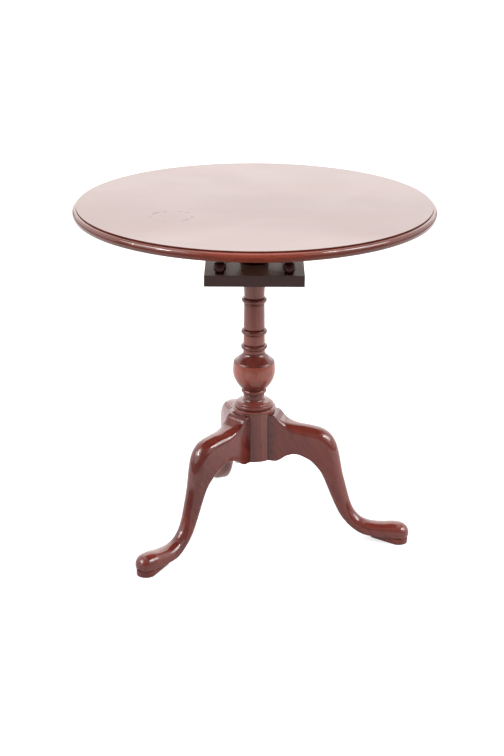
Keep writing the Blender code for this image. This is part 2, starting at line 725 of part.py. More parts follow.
def make_post(name, spot):
    """A small turned baluster with a tenon into each board."""
    bottom = LOWER_BOARD_TOP + FIT
    top = UPPER_BOARD_BOTTOM - FIT
    height = top - bottom
    foot_top = bottom + POST_FOOT_SHARE * height
    profile = [(0.0, bottom - POST_TENON_LENGTH), (POST_TENON_RADIUS, bottom - POST_TENON_LENGTH)]
    profile += [(POST_TENON_RADIUS, bottom), (POST_FOOT_RADIUS, bottom), (POST_FOOT_RADIUS, foot_top)]
    bulb = POST_BULB_SHARE * height
    profile += bead(foot_top + bulb / 2, bulb, POST_NECK_RADIUS, POST_BULB_RADIUS - POST_NECK_RADIUS, 8)
    profile += [(radius, bottom + share * height) for share, radius in POST_STATIONS]
    tenon_top = top + POST_TENON_LENGTH
    profile += [(POST_TENON_RADIUS, top), (POST_TENON_RADIUS, tenon_top), (0.0, tenon_top)]
    post = turned(name, profile, POST_SIDES)
    post.location = (*spot, 0.0)
    bpy.context.view_layer.update()
    return post


def make_strike_plate():
    """The brass plate let into the back of the upper board, with a window for the bolt."""
    depth = STRIKE_THICKNESS
    low = (-STRIKE_WIDTH / 2, BOARD_HALF - depth, BOLT_MIDDLE - STRIKE_HEIGHT / 2)
    plate = box("strike_plate", low, (STRIKE_WIDTH / 2, BOARD_HALF, BOLT_MIDDLE + STRIKE_HEIGHT / 2))
    return cut(plate, strike_box("window", *window_half_sizes(), depth + OVERCUT))


# Top

def make_table_top():
    """The round board, with a quirk and a rounded nosing along its rim."""
    nose = TOP_THICKNESS / 2
    crown = nose - RIM_QUIRK
    flat = TOP_RADIUS - RIM_WIDTH
    profile = [(0.0, TOP_UNDERSIDE)]
    for across, along in arc((0.0, 0.0), 1.0, -90, 90, 8):
        rise = crown if along > 0.0 else nose
        profile.append((flat + RIM_WIDTH * across, TOP_UNDERSIDE + nose + rise * along))
    profile += [(flat - FIT, TABLE_HEIGHT), (0.0, TABLE_HEIGHT)]
    return turned("table_top", profile, TOP_SIDES)


def make_cleat(name, side):
    """A batten under the top, thinned towards its ends, with a socket for the cage's pintle."""
    top = TOP_UNDERSIDE - FIT
    bottom = top - CLEAT_HEIGHT
    outline = (
        (-CLEAT_HALF_LENGTH, top),
        (-CLEAT_HALF_LENGTH, top - CLEAT_TIP_HEIGHT),
        (CLEAT_TAPER - CLEAT_HALF_LENGTH, bottom),
        (CLEAT_HALF_LENGTH - CLEAT_TAPER, bottom),
        (CLEAT_HALF_LENGTH, top - CLEAT_TIP_HEIGHT),
        (CLEAT_HALF_LENGTH, top),
    )
    left, right = sorted((side * CLEAT_INNER, side * CLEAT_OUTER))
    cleat = crosswise(name, outline, left, right)
    depth = PINTLE_LENGTH + RUNNING_FIT
    socket = rod(name + "_socket", PINTLE_RADIUS + RUNNING_FIT, 0.0, depth, PIVOT_SIDES)
    outward = Vector((side, 0.0, 0.0))
    return cut(cleat, place(socket, facing(outward, (side * BOARD_HALF, HINGE_Y, HINGE_Z))))


# Catch

def make_catch_plate():
    """The brass plate that the catch is built on, flat against the underside of the top."""
    low = (-CATCH_PLATE_WIDTH / 2, CATCH_FRONT, CATCH_PLATE_BOTTOM)
    high = (CATCH_PLATE_WIDTH / 2, CATCH_FRONT + CATCH_PLATE_LENGTH, TOP_UNDERSIDE - FIT)
    return box("catch_plate", low, high)


def case_half_widths():
    """Half widths of the catch case: inside, outside, and over its flanges."""
    inside = BOLT_WIDTH / 2 + FIT
    outside = inside + CATCH_CASE_WALL
    return inside, outside, outside + CATCH_FLANGE_WIDTH


def make_catch_case():
    """A folded brass channel that guides the bolt, with flanges for its screws and a slot for the knob."""
    inside, outside, flange = case_half_widths()
    flange_bottom = CASE_TOP - CATCH_CASE_WALL
    half = [(outside, CASE_BOTTOM), (outside, flange_bottom), (flange, flange_bottom)]
    half += [(flange, CASE_TOP), (inside, CASE_TOP), (inside, CASE_FLOOR)]
    mirrored = [(-x, z) for x, z in reversed(half)]
    case = lengthwise("catch_case", half + mirrored, CASE_FRONT, CASE_BACK)
    play = KNOB_STEM_RADIUS + RUNNING_FIT
    low = (-play, KNOB_Y - BOLT_TRAVEL - play, CASE_BOTTOM - OVERCUT)
    return cut(case, box("knob_slot", low, (play, KNOB_Y + play, CASE_FLOOR + FIT)))


def make_catch_bolt():
    """The brass bolt, drawn back clear of the cage, with a blunt tip and a hole for the knob's stem."""
    outline = (
        (BOLT_END, BOLT_BOTTOM),
        (BOLT_END, BOLT_TOP),
        (BOLT_TIP + BOLT_CHAMFER, BOLT_TOP),
        (BOLT_TIP, BOLT_TOP - BOLT_CHAMFER),
        (BOLT_TIP, BOLT_BOTTOM + BOLT_CHAMFER),
        (BOLT_TIP + BOLT_CHAMFER, BOLT_BOTTOM),
    )
    bolt = crosswise("catch_bolt", outline, -BOLT_WIDTH / 2, BOLT_WIDTH / 2)
    top = BOLT_BOTTOM + KNOB_STEM_SOCKET + FIT
    hole = rod("stem_hole", KNOB_STEM_RADIUS + FIT, BOLT_BOTTOM - OVERCUT, top, SCREW_SIDES)
    return cut(bolt, place(hole, Matrix.Translation((0.0, KNOB_Y, 0.0))))


def make_catch_spring():
    """A bowed strip between plate and bolt, whose rub keeps the bolt where it is put."""
    middle = (CASE_FRONT + CASE_BACK) / 2
    bow = SPRING_ROOM - 2 * FIT - SPRING_THICKNESS
    steps = 8
    sections = []
    for step in range(steps + 1):
        share = step / steps
        y = middle + SPRING_LENGTH * (share - 0.5)
        top = CATCH_PLATE_BOTTOM - FIT - bow * math.sin(math.pi * share)
        bottom = top - SPRING_THICKNESS
        half = SPRING_WIDTH / 2
        sections.append([(-half, y, bottom), (half, y, bottom), (half, y, top), (-half, y, top)])
    return lofted("catch_spring", sections)


def make_catch_knob():
    """A turned thumb knob, its stem riveted into the bolt through the slot in the case."""
    head_top = CASE_BOTTOM - RUNNING_FIT
    stem_top = BOLT_BOTTOM + KNOB_STEM_SOCKET
    bottom = head_top - KNOB_HEIGHT
    ball = KNOB_HEIGHT * KNOB_BALL_SHARE / 2
    profile = [(0.0, bottom)]
    for across, along in arc((0.0, 0.0), 1.0, -65, 60, 5):
        profile.append((KNOB_RADIUS * across, bottom + ball + ball * along))
    profile += [(KNOB_NECK_RADIUS, bottom + 2 * ball), (KNOB_FLANGE_RADIUS, head_top)]
    profile += [(KNOB_STEM_RADIUS, head_top), (KNOB_STEM_RADIUS, stem_top), (0.0, stem_top)]
    knob = turned("catch_knob", profile, SCREW_SIDES)
    knob.location.y = KNOB_Y
    bpy.context.view_layer.update()
    return knob


# Brace

def make_brace():
    """A flat iron star under the pillar, with one arm below each leg."""
    half = BRACE_ARM_WIDTH / 2
    spread = math.degrees(math.asin(half / BRACE_HUB_RADIUS))
    root = math.sqrt(BRACE_HUB_RADIUS ** 2 - half ** 2)
    outline = []
    azimuths = sorted(LEG_AZIMUTHS.values())
    following = [*azimuths[1:], azimuths[0] + 360.0]
    for azimuth, after in zip(azimuths, following):
        turn = Matrix.Rotation(math.radians(azimuth), 2)
        arm = [(root, -half), *arc((BRACE_REACH - half, 0.0), half, -90, 90, 6), (root, half)]
        outline += [tuple(turn @ Vector(point)) for point in arm]
        outline += arc((0.0, 0.0), BRACE_HUB_RADIUS, azimuth + spread, after - spread, 4)[1:-1]
    top = LEG_CLEARANCE - FIT
    return upright("brace_plate", outline, top - BRACE_THICKNESS, top)


# Screws

def screw_hole(length, recess):
    """A cutter for a countersunk screw: its outline with clearance, open above its head."""
    shank = SCREW_RADIUS + FIT
    head = SCREW_HEAD_RADIUS + FIT
    profile = [(0.0, -length - FIT), (shank, -length - FIT), (shank, -SCREW_HEAD_HEIGHT - FIT)]
    profile += [(head, -FIT), (head, recess + OVERCUT), (0.0, recess + OVERCUT)]
    return turned("screw_hole", profile, SCREW_SIDES)


def make_screw(name, where, outward, length, through, recess=0.0):
    """A slotted countersunk screw, and its hole through each piece that it holds."""
    transform = facing(outward, where)
    profile = [(0.0, -length), (SCREW_RADIUS, SCREW_TIP - length), (SCREW_RADIUS, -SCREW_HEAD_HEIGHT)]
    profile += [(SCREW_HEAD_RADIUS, 0.0), (0.0, 0.0)]
    screw = turned(name, profile, SCREW_SIDES)
    reach = SCREW_HEAD_RADIUS + OVERCUT
    half = SCREW_SLOT_WIDTH / 2
    cut(screw, box("slot", (-reach, -half, -SCREW_SLOT_DEPTH), (reach, half, OVERCUT)))
    screw.matrix_world = transform
    for piece in through:
        tool = screw_hole(length, recess)
        place(tool, piece.matrix_world.inverted() @ transform)
        tool.matrix_world = piece.matrix_world
        cut(piece, tool)
    return screw


def brace_screws(brace, pillar, legs):
    """One screw up into the pillar's heart and one into the root of each leg."""
    bottom = LEG_CLEARANCE - FIT - BRACE_THICKNESS
    heart = (0.0, 0.0, bottom)
    screws = [make_screw("brace_screw_centre", heart, DOWN, BRACE_SCREW_LENGTH, (brace, pillar))]
    radius = BRACE_REACH - BRACE_SCREW_INSET
    for leg in legs:
        azimuth = leg.rotation_euler.z
        spot = (radius * math.cos(azimuth), radius * math.sin(azimuth), bottom)
        name = "brace_screw_" + leg.name.removeprefix("leg_")
        screws.append(make_screw(name, spot, DOWN, BRACE_SCREW_LENGTH, (brace, leg)))
    return screws


def cleat_screws(cleats, top):
    """Three screws up through each cleat into the top, their heads sunk in the cleat."""
    reach = CLEAT_HALF_LENGTH - CLEAT_SCREW_INSET
    head = TOP_UNDERSIDE - FIT - CLEAT_HEIGHT + CLEAT_SCREW_RECESS
    screws = []
    for cleat, side in cleats:
        for place_name, y in (("front", -reach), ("middle", 0.0), ("back", reach)):
            spot = (side * (CLEAT_INNER + CLEAT_OUTER) / 2, y, head)
            name = cleat.name + "_screw_" + place_name
            pieces = (cleat, top)
            screws.append(make_screw(name, spot, DOWN, CLEAT_SCREW_LENGTH, pieces, CLEAT_SCREW_RECESS))
    return screws


def catch_screws(case, plate, top):
    """Four screws through the case's flanges and the plate into the top."""
    outside, flange = case_half_widths()[1:]
    across = (outside + flange) / 2
    inset = CATCH_FLANGE_WIDTH / 2 + CATCH_CASE_INSET
    screws = []
    for place_name, x, y in (
        ("front_left", -across, CASE_FRONT + inset),
        ("front_right", across, CASE_FRONT + inset),
        ("back_left", -across, CASE_BACK - inset),
        ("back_right", across, CASE_BACK - inset),
    ):
        spot = (x, y, CASE_TOP - CATCH_CASE_WALL)
        name = "catch_screw_" + place_name
        screws.append(make_screw(name, spot, DOWN, CATCH_SCREW_LENGTH, (case, plate, top)))
    return screws


def strike_screws(strike, board):
    """Two screws through the strike plate into the upper board's back edge."""
    across = (window_half_sizes()[0] + STRIKE_WIDTH / 2) / 2
    screws = []
    for name, x in (("strike_screw_left", -across), ("strike_screw_right", across)):
        spot = (x, BOARD_HALF, BOLT_MIDDLE)
        screws.append(make_screw(name, spot, BACK, STRIKE_SCREW_LENGTH, (strike, board)))
    return screws


# Assembly

def pivot(name, where, parent=None):
    """An empty on a joint's axis, for the pieces that move about it."""
    empty = bpy.data.objects.new(name, None)
    bpy.context.scene.collection.objects.link(empty)
    empty.location = where
    bpy.context.view_layer.update()
    if parent:
        carry(parent, [empty])
    return empty


def carry(parent, pieces):
    """Parent pieces to an empty without moving them."""
    for piece in pieces:
        piece.parent = parent
        piece.matrix_parent_inverse = parent.matrix_world.inverted()
    bpy.context.view_layer.update()


def dress(pieces, material, crease=35.0):
    """Give pieces their finish, and shade them smooth except along their arrises."""
    for piece in pieces:
        piece.data.materials.clear()
        piece.data.materials.append(material)
        piece.data.shade_smooth()
        piece.data.set_sharp_from_angle(angle=math.radians(crease))


def build_table():
    """Make every piece, fasten it, hang it on its joint and give it its finish."""
    clear_scene()
    finishes = make_finishes()

    pillar = make_pillar()
    legs = [make_leg(name, azimuth) for name, azimuth in LEG_AZIMUTHS.items()]
    brace = make_brace()
    collar = make_collar()
    wedge = make_wedge()
    iron_screws = brace_screws(brace, pillar, legs)

    lower_board = make_lower_board()
    upper_board = make_upper_board()
    posts = [make_post(name, spot) for name, spot in post_places().items()]
    strike = make_strike_plate()
    brass_screws = strike_screws(strike, upper_board)
    cage_pieces = [lower_board, upper_board, *posts, strike, *brass_screws]

    top = make_table_top()
    cleats = [(make_cleat("cleat_left", -1.0), -1.0), (make_cleat("cleat_right", 1.0), 1.0)]
    plate = make_catch_plate()
    case = make_catch_case()
    spring = make_catch_spring()
    fixings = cleat_screws(cleats, top)
    plate_screws = catch_screws(case, plate, top)
    battens = [cleat for cleat, side in cleats]
    top_pieces = [top, *battens, plate, case, spring, *fixings, *plate_screws]

    bolt = make_catch_bolt()
    knob = make_catch_knob()

    swivel = pivot("swivel_axis", (0.0, 0.0, LOWER_BOARD_BOTTOM))
    carry(swivel, cage_pieces)
    tilt = pivot("tilt_axis", (0.0, HINGE_Y, HINGE_Z), swivel)
    carry(tilt, top_pieces)
    slide = pivot("bolt_axis", (0.0, BOLT_TIP, BOLT_MIDDLE), tilt)
    carry(slide, [bolt, knob])

    dress([pillar, *legs, top, wedge], finishes["polished_mahogany"])
    dress([lower_board, upper_board, *posts, collar, *battens], finishes["dark_mahogany"])
    dress([strike, plate, case, spring, bolt, knob, *brass_screws, *plate_screws], finishes["brass"])
    dress([brace], finishes["iron"])
    dress([*iron_screws, *fixings], finishes["steel"])


build_table()
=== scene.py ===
"""Looks of a tilt-top tea table: the finish of every piece, a white studio and the photograph's view.

The sections follow the table as it is put together: pillar, legs, brace, cage, top and catch, and
then the studio. Lengths are in metres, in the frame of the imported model, with the front towards -Y.
"""
import math

import bmesh
import bpy
import numpy as np
from mathutils import Matrix


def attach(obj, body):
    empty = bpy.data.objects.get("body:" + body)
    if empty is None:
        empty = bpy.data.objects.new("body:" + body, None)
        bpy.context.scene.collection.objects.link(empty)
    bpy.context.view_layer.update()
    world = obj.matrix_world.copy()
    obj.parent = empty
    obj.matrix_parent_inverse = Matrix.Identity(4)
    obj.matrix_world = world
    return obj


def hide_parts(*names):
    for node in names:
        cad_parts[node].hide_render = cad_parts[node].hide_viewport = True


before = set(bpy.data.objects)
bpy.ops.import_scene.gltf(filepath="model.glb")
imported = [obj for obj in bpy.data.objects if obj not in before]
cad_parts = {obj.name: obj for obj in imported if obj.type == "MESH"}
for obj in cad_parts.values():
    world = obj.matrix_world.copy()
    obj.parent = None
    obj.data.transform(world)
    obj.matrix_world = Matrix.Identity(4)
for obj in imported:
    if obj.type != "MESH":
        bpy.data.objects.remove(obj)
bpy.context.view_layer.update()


# Pillar: one turning of mahogany, from the block that takes the legs up to the spindle in the cage.
# Its block has three flats for the dovetailed legs, and old polish lies dark in its quirks.

LEG_AZIMUTHS = {"right": -13.5, "back": 108.5, "left": 226.5}
LEG_WIDTH = 0.050
BLOCK_RADIUS = 0.044
BLOCK_FLAT = math.sqrt(BLOCK_RADIUS ** 2 - (LEG_WIDTH / 2) ** 2)
BLOCK_BOTTOM = 0.166
JOINT_TOP = 0.268
BLOCK_TOP = 0.2728
VASE_FOOT = (0.0254, 0.3170)
VASE_BELLY = (0.0441, 0.357)
VASE_SHOULDER = (0.0426, 0.3748)
VASE_FULLNESS = 2.05
VASE_TURN_IN = 2.0
SHAFT_FOOT = (0.0228, 0.397)
SHAFT_WAIST = (0.0211, 0.5174)
PILLAR_SHOULDER = (0.026, 0.5654)
SHAFT_FLARE = 1.6
# Paler shaft and belly swell: partly wear, partly painted light from the sides and the floor
SHAFT_WORN_AND_LIT = 0.24
BELLY_WORN_AND_LIT_REACH = 0.030
BELLY_WORN_AND_LIT_DEPTH = 0.009
BEAD_MIDDLES = (0.4084, 0.4413, 0.5088)
BEAD_HEIGHT = 0.0102
BEAD_PROJECTION = 0.0047
BEAD_QUIRK = 0.0004
SPINDLE_RADIUS = 0.016
SPINDLE_TOP = 0.6682
PIVOT_RADIUS = 0.011
PIVOT_TOP = 0.6877
PILLAR_DEEP = (0.104, 0.0210, 0.0155)
PILLAR_LIT = (0.200, 0.0440, 0.0300)
# The paler colour for them, which holds that painted light too
PILLAR_BARE_AND_LIT = (0.450, 0.1020, 0.0600)
UNTURNED = (0.0, 0.0, 0.0)
WORN_DUSTY_AND_LIT_SHARE = 0.80
DARK_PART = 0.35
PORE_SHARE = 0.55
# How far wax darkens, and painted shade where a piece's marks give it
WAX_AND_SHADE_SHARE = 0.75
PALE_PART = 1.35
RUBBED_SHARE = 0.45
ROUGHNESS_SWING = 0.07
GRAIN_STRENGTH = 0.25
GRAIN_DEPTH = 0.0002
THIN_COAT = 0.95
POLISH_IOR = 1.5


def straight(start, end, count):
    """A straight run of (radius, height) points."""
    return np.linspace(start, end, count)


def ovolo(start, end, count=12):
    """A convex quarter of an ellipse: it leaves the start upright and comes level to the end."""
    turn = np.linspace(0.0, np.pi / 2, count)
    radius = end[0] + (start[0] - end[0]) * np.cos(turn)
    return np.column_stack([radius, start[1] + (end[1] - start[1]) * np.sin(turn)])


def cove(start, end, count=12):
    """A hollow quarter of an ellipse: it leaves the start level and comes upright to the end."""
    turn = np.linspace(0.0, np.pi / 2, count)
    radius = start[0] + (end[0] - start[0]) * np.sin(turn)
    return np.column_stack([radius, end[1] + (start[1] - end[1]) * np.cos(turn)])


def roll(bottom, top, neck, projection, fullness=0.8, count=21):
    """A bead: it stands out from the neck by the sine of the half turn, raised to its fullness."""
    turn = np.linspace(0.0, np.pi, count)
    height = (bottom + top) / 2 - (top - bottom) / 2 * np.cos(turn)
    return np.column_stack([neck + projection * np.sin(turn) ** fullness, height])


def ogee(start, end, lean=0.85, count=26):
    """An S-shaped run: the radius follows a ramp that is level at both ends, leaning to its start."""
    share = np.linspace(0.0, 1.0, count)
    bent = share ** lean
    bent = bent * bent * (3.0 - 2.0 * bent)
    radius = start[0] + (end[0] - start[0]) * bent
    return np.column_stack([radius, start[1] + (end[1] - start[1]) * share])


def shaft_radius(height):
    """The shaft tapers to its waist, then flares to the shoulder by a power of the share above it."""
    taper = np.clip((height - SHAFT_FOOT[1]) / (SHAFT_WAIST[1] - SHAFT_FOOT[1]), 0.0, 1.0)
    flare = np.clip((height - SHAFT_WAIST[1]) / (PILLAR_SHOULDER[1] - SHAFT_WAIST[1]), 0.0, 1.0)
    waist = SHAFT_FOOT[0] + (SHAFT_WAIST[0] - SHAFT_FOOT[0]) * taper
    return waist + (PILLAR_SHOULDER[0] - SHAFT_WAIST[0]) * flare ** SHAFT_FLARE


def shaft_profile():
    """The shaft's own line, with a quirked bead put on at each of its three places."""
    parts = []
    bottom = SHAFT_FOOT[1]
    for middle in BEAD_MIDDLES:
        low, high = middle - BEAD_HEIGHT / 2, middle + BEAD_HEIGHT / 2
        heights = np.linspace(bottom, low - BEAD_QUIRK, 12)
        parts.append(np.column_stack([shaft_radius(heights), heights]))
        neck = float(shaft_radius(np.array(middle))) - BEAD_QUIRK
        parts.append(roll(low, high, neck, BEAD_PROJECTION + BEAD_QUIRK))
        bottom = high + BEAD_QUIRK
    heights = np.linspace(bottom, PILLAR_SHOULDER[1] - 0.0008, 30)
    parts.append(np.column_stack([shaft_radius(heights), heights]))
    return np.concatenate(parts)


def block_profile():
    """The plain block that takes the legs, eased at its foot."""
    return np.concatenate([
        straight((0.0434, BLOCK_BOTTOM), (BLOCK_RADIUS, BLOCK_BOTTOM + 0.0007), 3),
        straight((BLOCK_RADIUS, BLOCK_BOTTOM + 0.001), (BLOCK_RADIUS, JOINT_TOP), 20),
        straight((BLOCK_RADIUS, JOINT_TOP + 0.0001), (BLOCK_RADIUS, BLOCK_TOP), 4),
    ])


def base_profile():
    """The base's mouldings above the block: a flat bead, a round one, an ovolo, a cove and two rings."""
    return np.concatenate([
        roll(BLOCK_TOP + 0.0002, 0.2772, 0.0436, 0.0022, 0.5, 13),
        straight((0.0412, 0.2775), (0.0408, 0.2779), 2),
        roll(0.2780, 0.2856, 0.0380, 0.0030, 0.6, 17)[1:-2],
        straight((0.0372, 0.2857), (0.0368, 0.2861), 2),
        ovolo((0.0366, 0.2862), (0.0270, 0.2910)),
        straight((0.0264, 0.2911), (0.0260, 0.2914), 2),
        cove((0.0256, 0.2915), (0.0214, 0.2985)),
        straight((0.0214, 0.2988), (0.0214, 0.3006), 3),
        roll(0.3008, 0.3050, 0.0213, 0.0011, 0.7, 9),
        straight((0.0211, 0.3056), (0.0213, 0.3076), 3),
        roll(0.3080, 0.3162, 0.0222, 0.0042, 0.7),
    ])


def vase_profile():
    """The vase swells by a power of the share of its height left, turns in, and ends in an ogee."""
    share = np.linspace(0.0, 1.0, 40)
    belly = np.column_stack([
        VASE_FOOT[0] + (VASE_BELLY[0] - VASE_FOOT[0]) * (1.0 - (1.0 - share) ** VASE_FULLNESS),
        VASE_FOOT[1] + (VASE_BELLY[1] - VASE_FOOT[1]) * share,
    ])
    shoulder = np.column_stack([
        VASE_BELLY[0] + (VASE_SHOULDER[0] - VASE_BELLY[0]) * share ** VASE_TURN_IN,
        VASE_BELLY[1] + (VASE_SHOULDER[1] - VASE_BELLY[1]) * share,
    ])
    return np.concatenate([
        belly,
        shoulder[1:],
        straight((0.0418, 0.3753), (0.0414, 0.3759), 2),
        ogee((0.0421, 0.3762), SHAFT_FOOT, 0.78),
    ])


def spindle_profile():
    """The pillar's shoulder, the spindle that goes through the cage, and the pivot at its end."""
    return np.concatenate([
        straight((0.0258, PILLAR_SHOULDER[1] - 0.0001), (SPINDLE_RADIUS, PILLAR_SHOULDER[1]), 3),
        straight((SPINDLE_RADIUS, PILLAR_SHOULDER[1] + 0.0002), (SPINDLE_RADIUS, SPINDLE_TOP), 4),
        straight((PIVOT_RADIUS, SPINDLE_TOP + 0.0001), (PIVOT_RADIUS, PIVOT_TOP - 0.001), 3),
        straight((PIVOT_RADIUS - 0.0004, PIVOT_TOP - 0.0003), (PIVOT_RADIUS - 0.001, PIVOT_TOP), 2),
    ])


def pillar_profile():
    """All of the turning's (radius, height) points, from the block's foot to the end of the pivot."""
    return np.concatenate([
        block_profile(), base_profile(), vase_profile(), shaft_profile(), spindle_profile()])


def relief(profile, reach=0.0035, depth=0.0011):
    """How far each point of a profile stands out from the line smoothed over a reach, from -1 to 1."""
    steps = np.linalg.norm(np.diff(profile, axis=0), axis=1)
    along = np.concatenate([[0.0], np.cumsum(steps)])
    share = np.gradient(along)
    weights = np.exp(-((along[:, None] - along[None, :]) / reach) ** 2) * share[None, :]
    level = weights @ profile[:, 0] / weights.sum(axis=1)
    return np.clip((profile[:, 0] - level) / depth, -1.0, 1.0)


def turned(profile, angles):
    """A profile turned about Z: each point is (radius cos angle, radius sin angle, height)."""
    radius, height = profile[:, :1], profile[:, 1:]
    across = radius * np.cos(angles)
    return np.stack([across, radius * np.sin(angles), height + 0.0 * across], axis=-1)


def placed(name, data):
    """A new object that shows its data, put into the scene."""
    made = bpy.data.objects.new(name, data)
    bpy.context.scene.collection.objects.link(made)
    return made


def skin(name, rings, marks=None, crease=50.0):
    """A closed mesh over rings of points: quads join each ring to the next and fans close both ends.

    Marks are values for each point of the rings, kept as attributes for the materials to read.
    """
    rows, columns = rings.shape[:2]
    index = np.arange(rows * columns).reshape(rows, columns)
    after = np.roll(index, -1, axis=1)
    quads = np.stack([index[:-1], after[:-1], after[1:], index[1:]], axis=-1).reshape(-1, 4)
    bottom = np.column_stack([after[0], index[0], np.full(columns, rows * columns)])
    top = np.column_stack([index[-1], after[-1], np.full(columns, rows * columns + 1)])
    points = np.concatenate([rings.reshape(-1, 3), rings[[0, -1]].mean(axis=1)])
    mesh = bpy.data.meshes.new(name)
    mesh.from_pydata(points.tolist(), [], quads.tolist() + bottom.tolist() + top.tolist())
    for mark, values in (marks or {}).items():
        spread = np.broadcast_to(values, (rows, columns)).reshape(-1)
        ends = np.broadcast_to(values, (rows, columns))[[0, -1]].mean(axis=1)
        layer = mesh.attributes.new(mark, "FLOAT", "POINT")
        layer.data.foreach_set("value", np.concatenate([spread, ends]).astype(np.float32))
    mesh.shade_smooth()
    mesh.set_sharp_from_angle(angle=math.radians(crease))
    return placed(name, mesh)


def pillar_angles():
    """Angles round the pillar, closer set over each leg's flat and ending on the flat's arrises."""
    half = math.asin(LEG_WIDTH / 2 / BLOCK_RADIUS)
    middles = np.radians(sorted(LEG_AZIMUTHS.values()))
    following = np.append(middles[1:], middles[0] + math.tau)
    flats = np.linspace(middles - half, middles + half, 16, endpoint=False).T
    gaps = np.linspace(middles + half, following - half, 22, endpoint=False).T
    return np.concatenate([flats, gaps], axis=1).reshape(-1)


def pillar_rings():
    """The turned pillar, with its block cut back to the flats where the legs butt against it."""
    angles = pillar_angles()
    profile = pillar_profile()
    rings = turned(profile, angles)
    azimuths = np.radians(list(LEG_AZIMUTHS.values()))
    towards = np.cos(angles[None, :] - azimuths[:, None]).max(axis=0)
    reach = BLOCK_FLAT / np.maximum(towards, 0.1)
    radius = np.minimum(profile[:, :1], np.where(profile[:, 1:] <= JOINT_TOP, reach[None, :], 1.0))
    rings[..., :2] *= (radius / profile[:, :1])[..., None]
    # Paler shaft and belly swell: partly wear, partly painted light from the sides and the floor.
    height = profile[:, 1]
    belly = (height > VASE_FOOT[1]) & (height < VASE_SHOULDER[1])
    plain = (height > SHAFT_FOOT[1]) & (profile[:, 0] < shaft_radius(height) + BEAD_QUIRK)
    worn_dusty_and_lit = np.where(plain, SHAFT_WORN_AND_LIT, 0.0)
    swell = np.clip(relief(profile, BELLY_WORN_AND_LIT_REACH, BELLY_WORN_AND_LIT_DEPTH), 0.0, 1.0)
    worn_dusty_and_lit = np.where(belly, swell, worn_dusty_and_lit)
    return rings, {"relief": relief(profile)[:, None], "worn_dusty_and_lit": worn_dusty_and_lit[:, None]}


def feed(tree, node, inputs):
    """Give a node's inputs plain values, or links from other nodes' outputs."""
    for name, value in inputs.items():
        if isinstance(value, bpy.types.NodeSocket):
            tree.links.new(value, node.inputs[name])
        else:
            node.inputs[name].default_value = value


def add(tree, kind, settings=None, inputs=None):
    """A new node with its settings and its inputs."""
    made = tree.nodes.new(kind)
    for name, value in (settings or {}).items():
        setattr(made, name, value)
    feed(tree, made, inputs or {})
    return made


def noise(tree, vector, scale, detail, roughness=0.55, distortion=0.0):
    """Noise between 0 and 1 over a vector."""
    inputs = {"Vector": vector, "Scale": scale, "Detail": detail,
              "Roughness": roughness, "Distortion": distortion}
    return add(tree, "ShaderNodeTexNoise", None, inputs).outputs["Fac"]


def ramp(tree, value, low, high, start=0.0, end=1.0):
    """A smooth ramp of a value from one range to another."""
    inputs = {"Value": value, "From Min": low, "From Max": high, "To Min": start, "To Max": end}
    settings = {"interpolation_type": "SMOOTHSTEP"}
    return add(tree, "ShaderNodeMapRange", settings, inputs).outputs["Result"]


def math_of(tree, operation, first, second):
    """One sum, product or the like of two values."""
    return add(tree, "ShaderNodeMath", {"operation": operation}, {0: first, 1: second}).outputs[0]


def blend(tree, factor, first, second):
    """A mix of two colours."""
    inputs = {0: factor}
    for place, colour in ((6, first), (7, second)):
        inputs[place] = colour if isinstance(colour, bpy.types.NodeSocket) else (*colour, 1.0)
    return add(tree, "ShaderNodeMix", {"data_type": "RGBA"}, inputs).outputs[2]


def shared_effect(name, inputs, outputs):
    """A new shader node group with its sockets, and the nodes that stand for them."""
    group = bpy.data.node_groups.new(name, "ShaderNodeTree")
    for label, kind in inputs:
        group.interface.new_socket(label, in_out="INPUT", socket_type=kind)
    for label in outputs:
        group.interface.new_socket(label, in_out="OUTPUT", socket_type="NodeSocketFloat")
    return group, group.nodes.new("NodeGroupInput"), group.nodes.new("NodeGroupOutput")


def make_grain():
    """Mahogany along Z: broad ribbons of figure, fine streaks and short open pores."""
    group, given, result = shared_effect(
        "mahogany_grain", [("Vector", "NodeSocketVector")], ["Figure", "Pores", "Height"])
    vector = given.outputs["Vector"]

    def stretched(scale):
        """The vector, drawn out along the grain."""
        return add(group, "ShaderNodeMapping", None, {"Vector": vector, "Scale": scale}).outputs[0]

    ribbons = noise(group, stretched((13.0, 13.0, 1.6)), 1.0, 4.0, 0.5, 0.6)
    streaks = noise(group, stretched((95.0, 95.0, 4.0)), 1.0, 3.0, 0.6, 0.2)
    pores = ramp(group, noise(group, stretched((620.0, 620.0, 26.0)), 1.0, 1.0), 0.60, 0.72)
    clusters = ramp(group, noise(group, stretched((60.0, 60.0, 9.0)), 1.0, 2.0), 0.35, 0.65)
    pores = math_of(group, "MULTIPLY", pores, clusters)
    figure = math_of(group, "ADD", math_of(group, "MULTIPLY", ribbons, 0.62),
                     math_of(group, "MULTIPLY", streaks, 0.38))
    height = math_of(group, "SUBTRACT", math_of(group, "MULTIPLY", streaks, 0.25), pores)
    feed(group, result, {"Figure": ramp(group, figure, 0.32, 0.68), "Pores": pores, "Height": height})
    return group


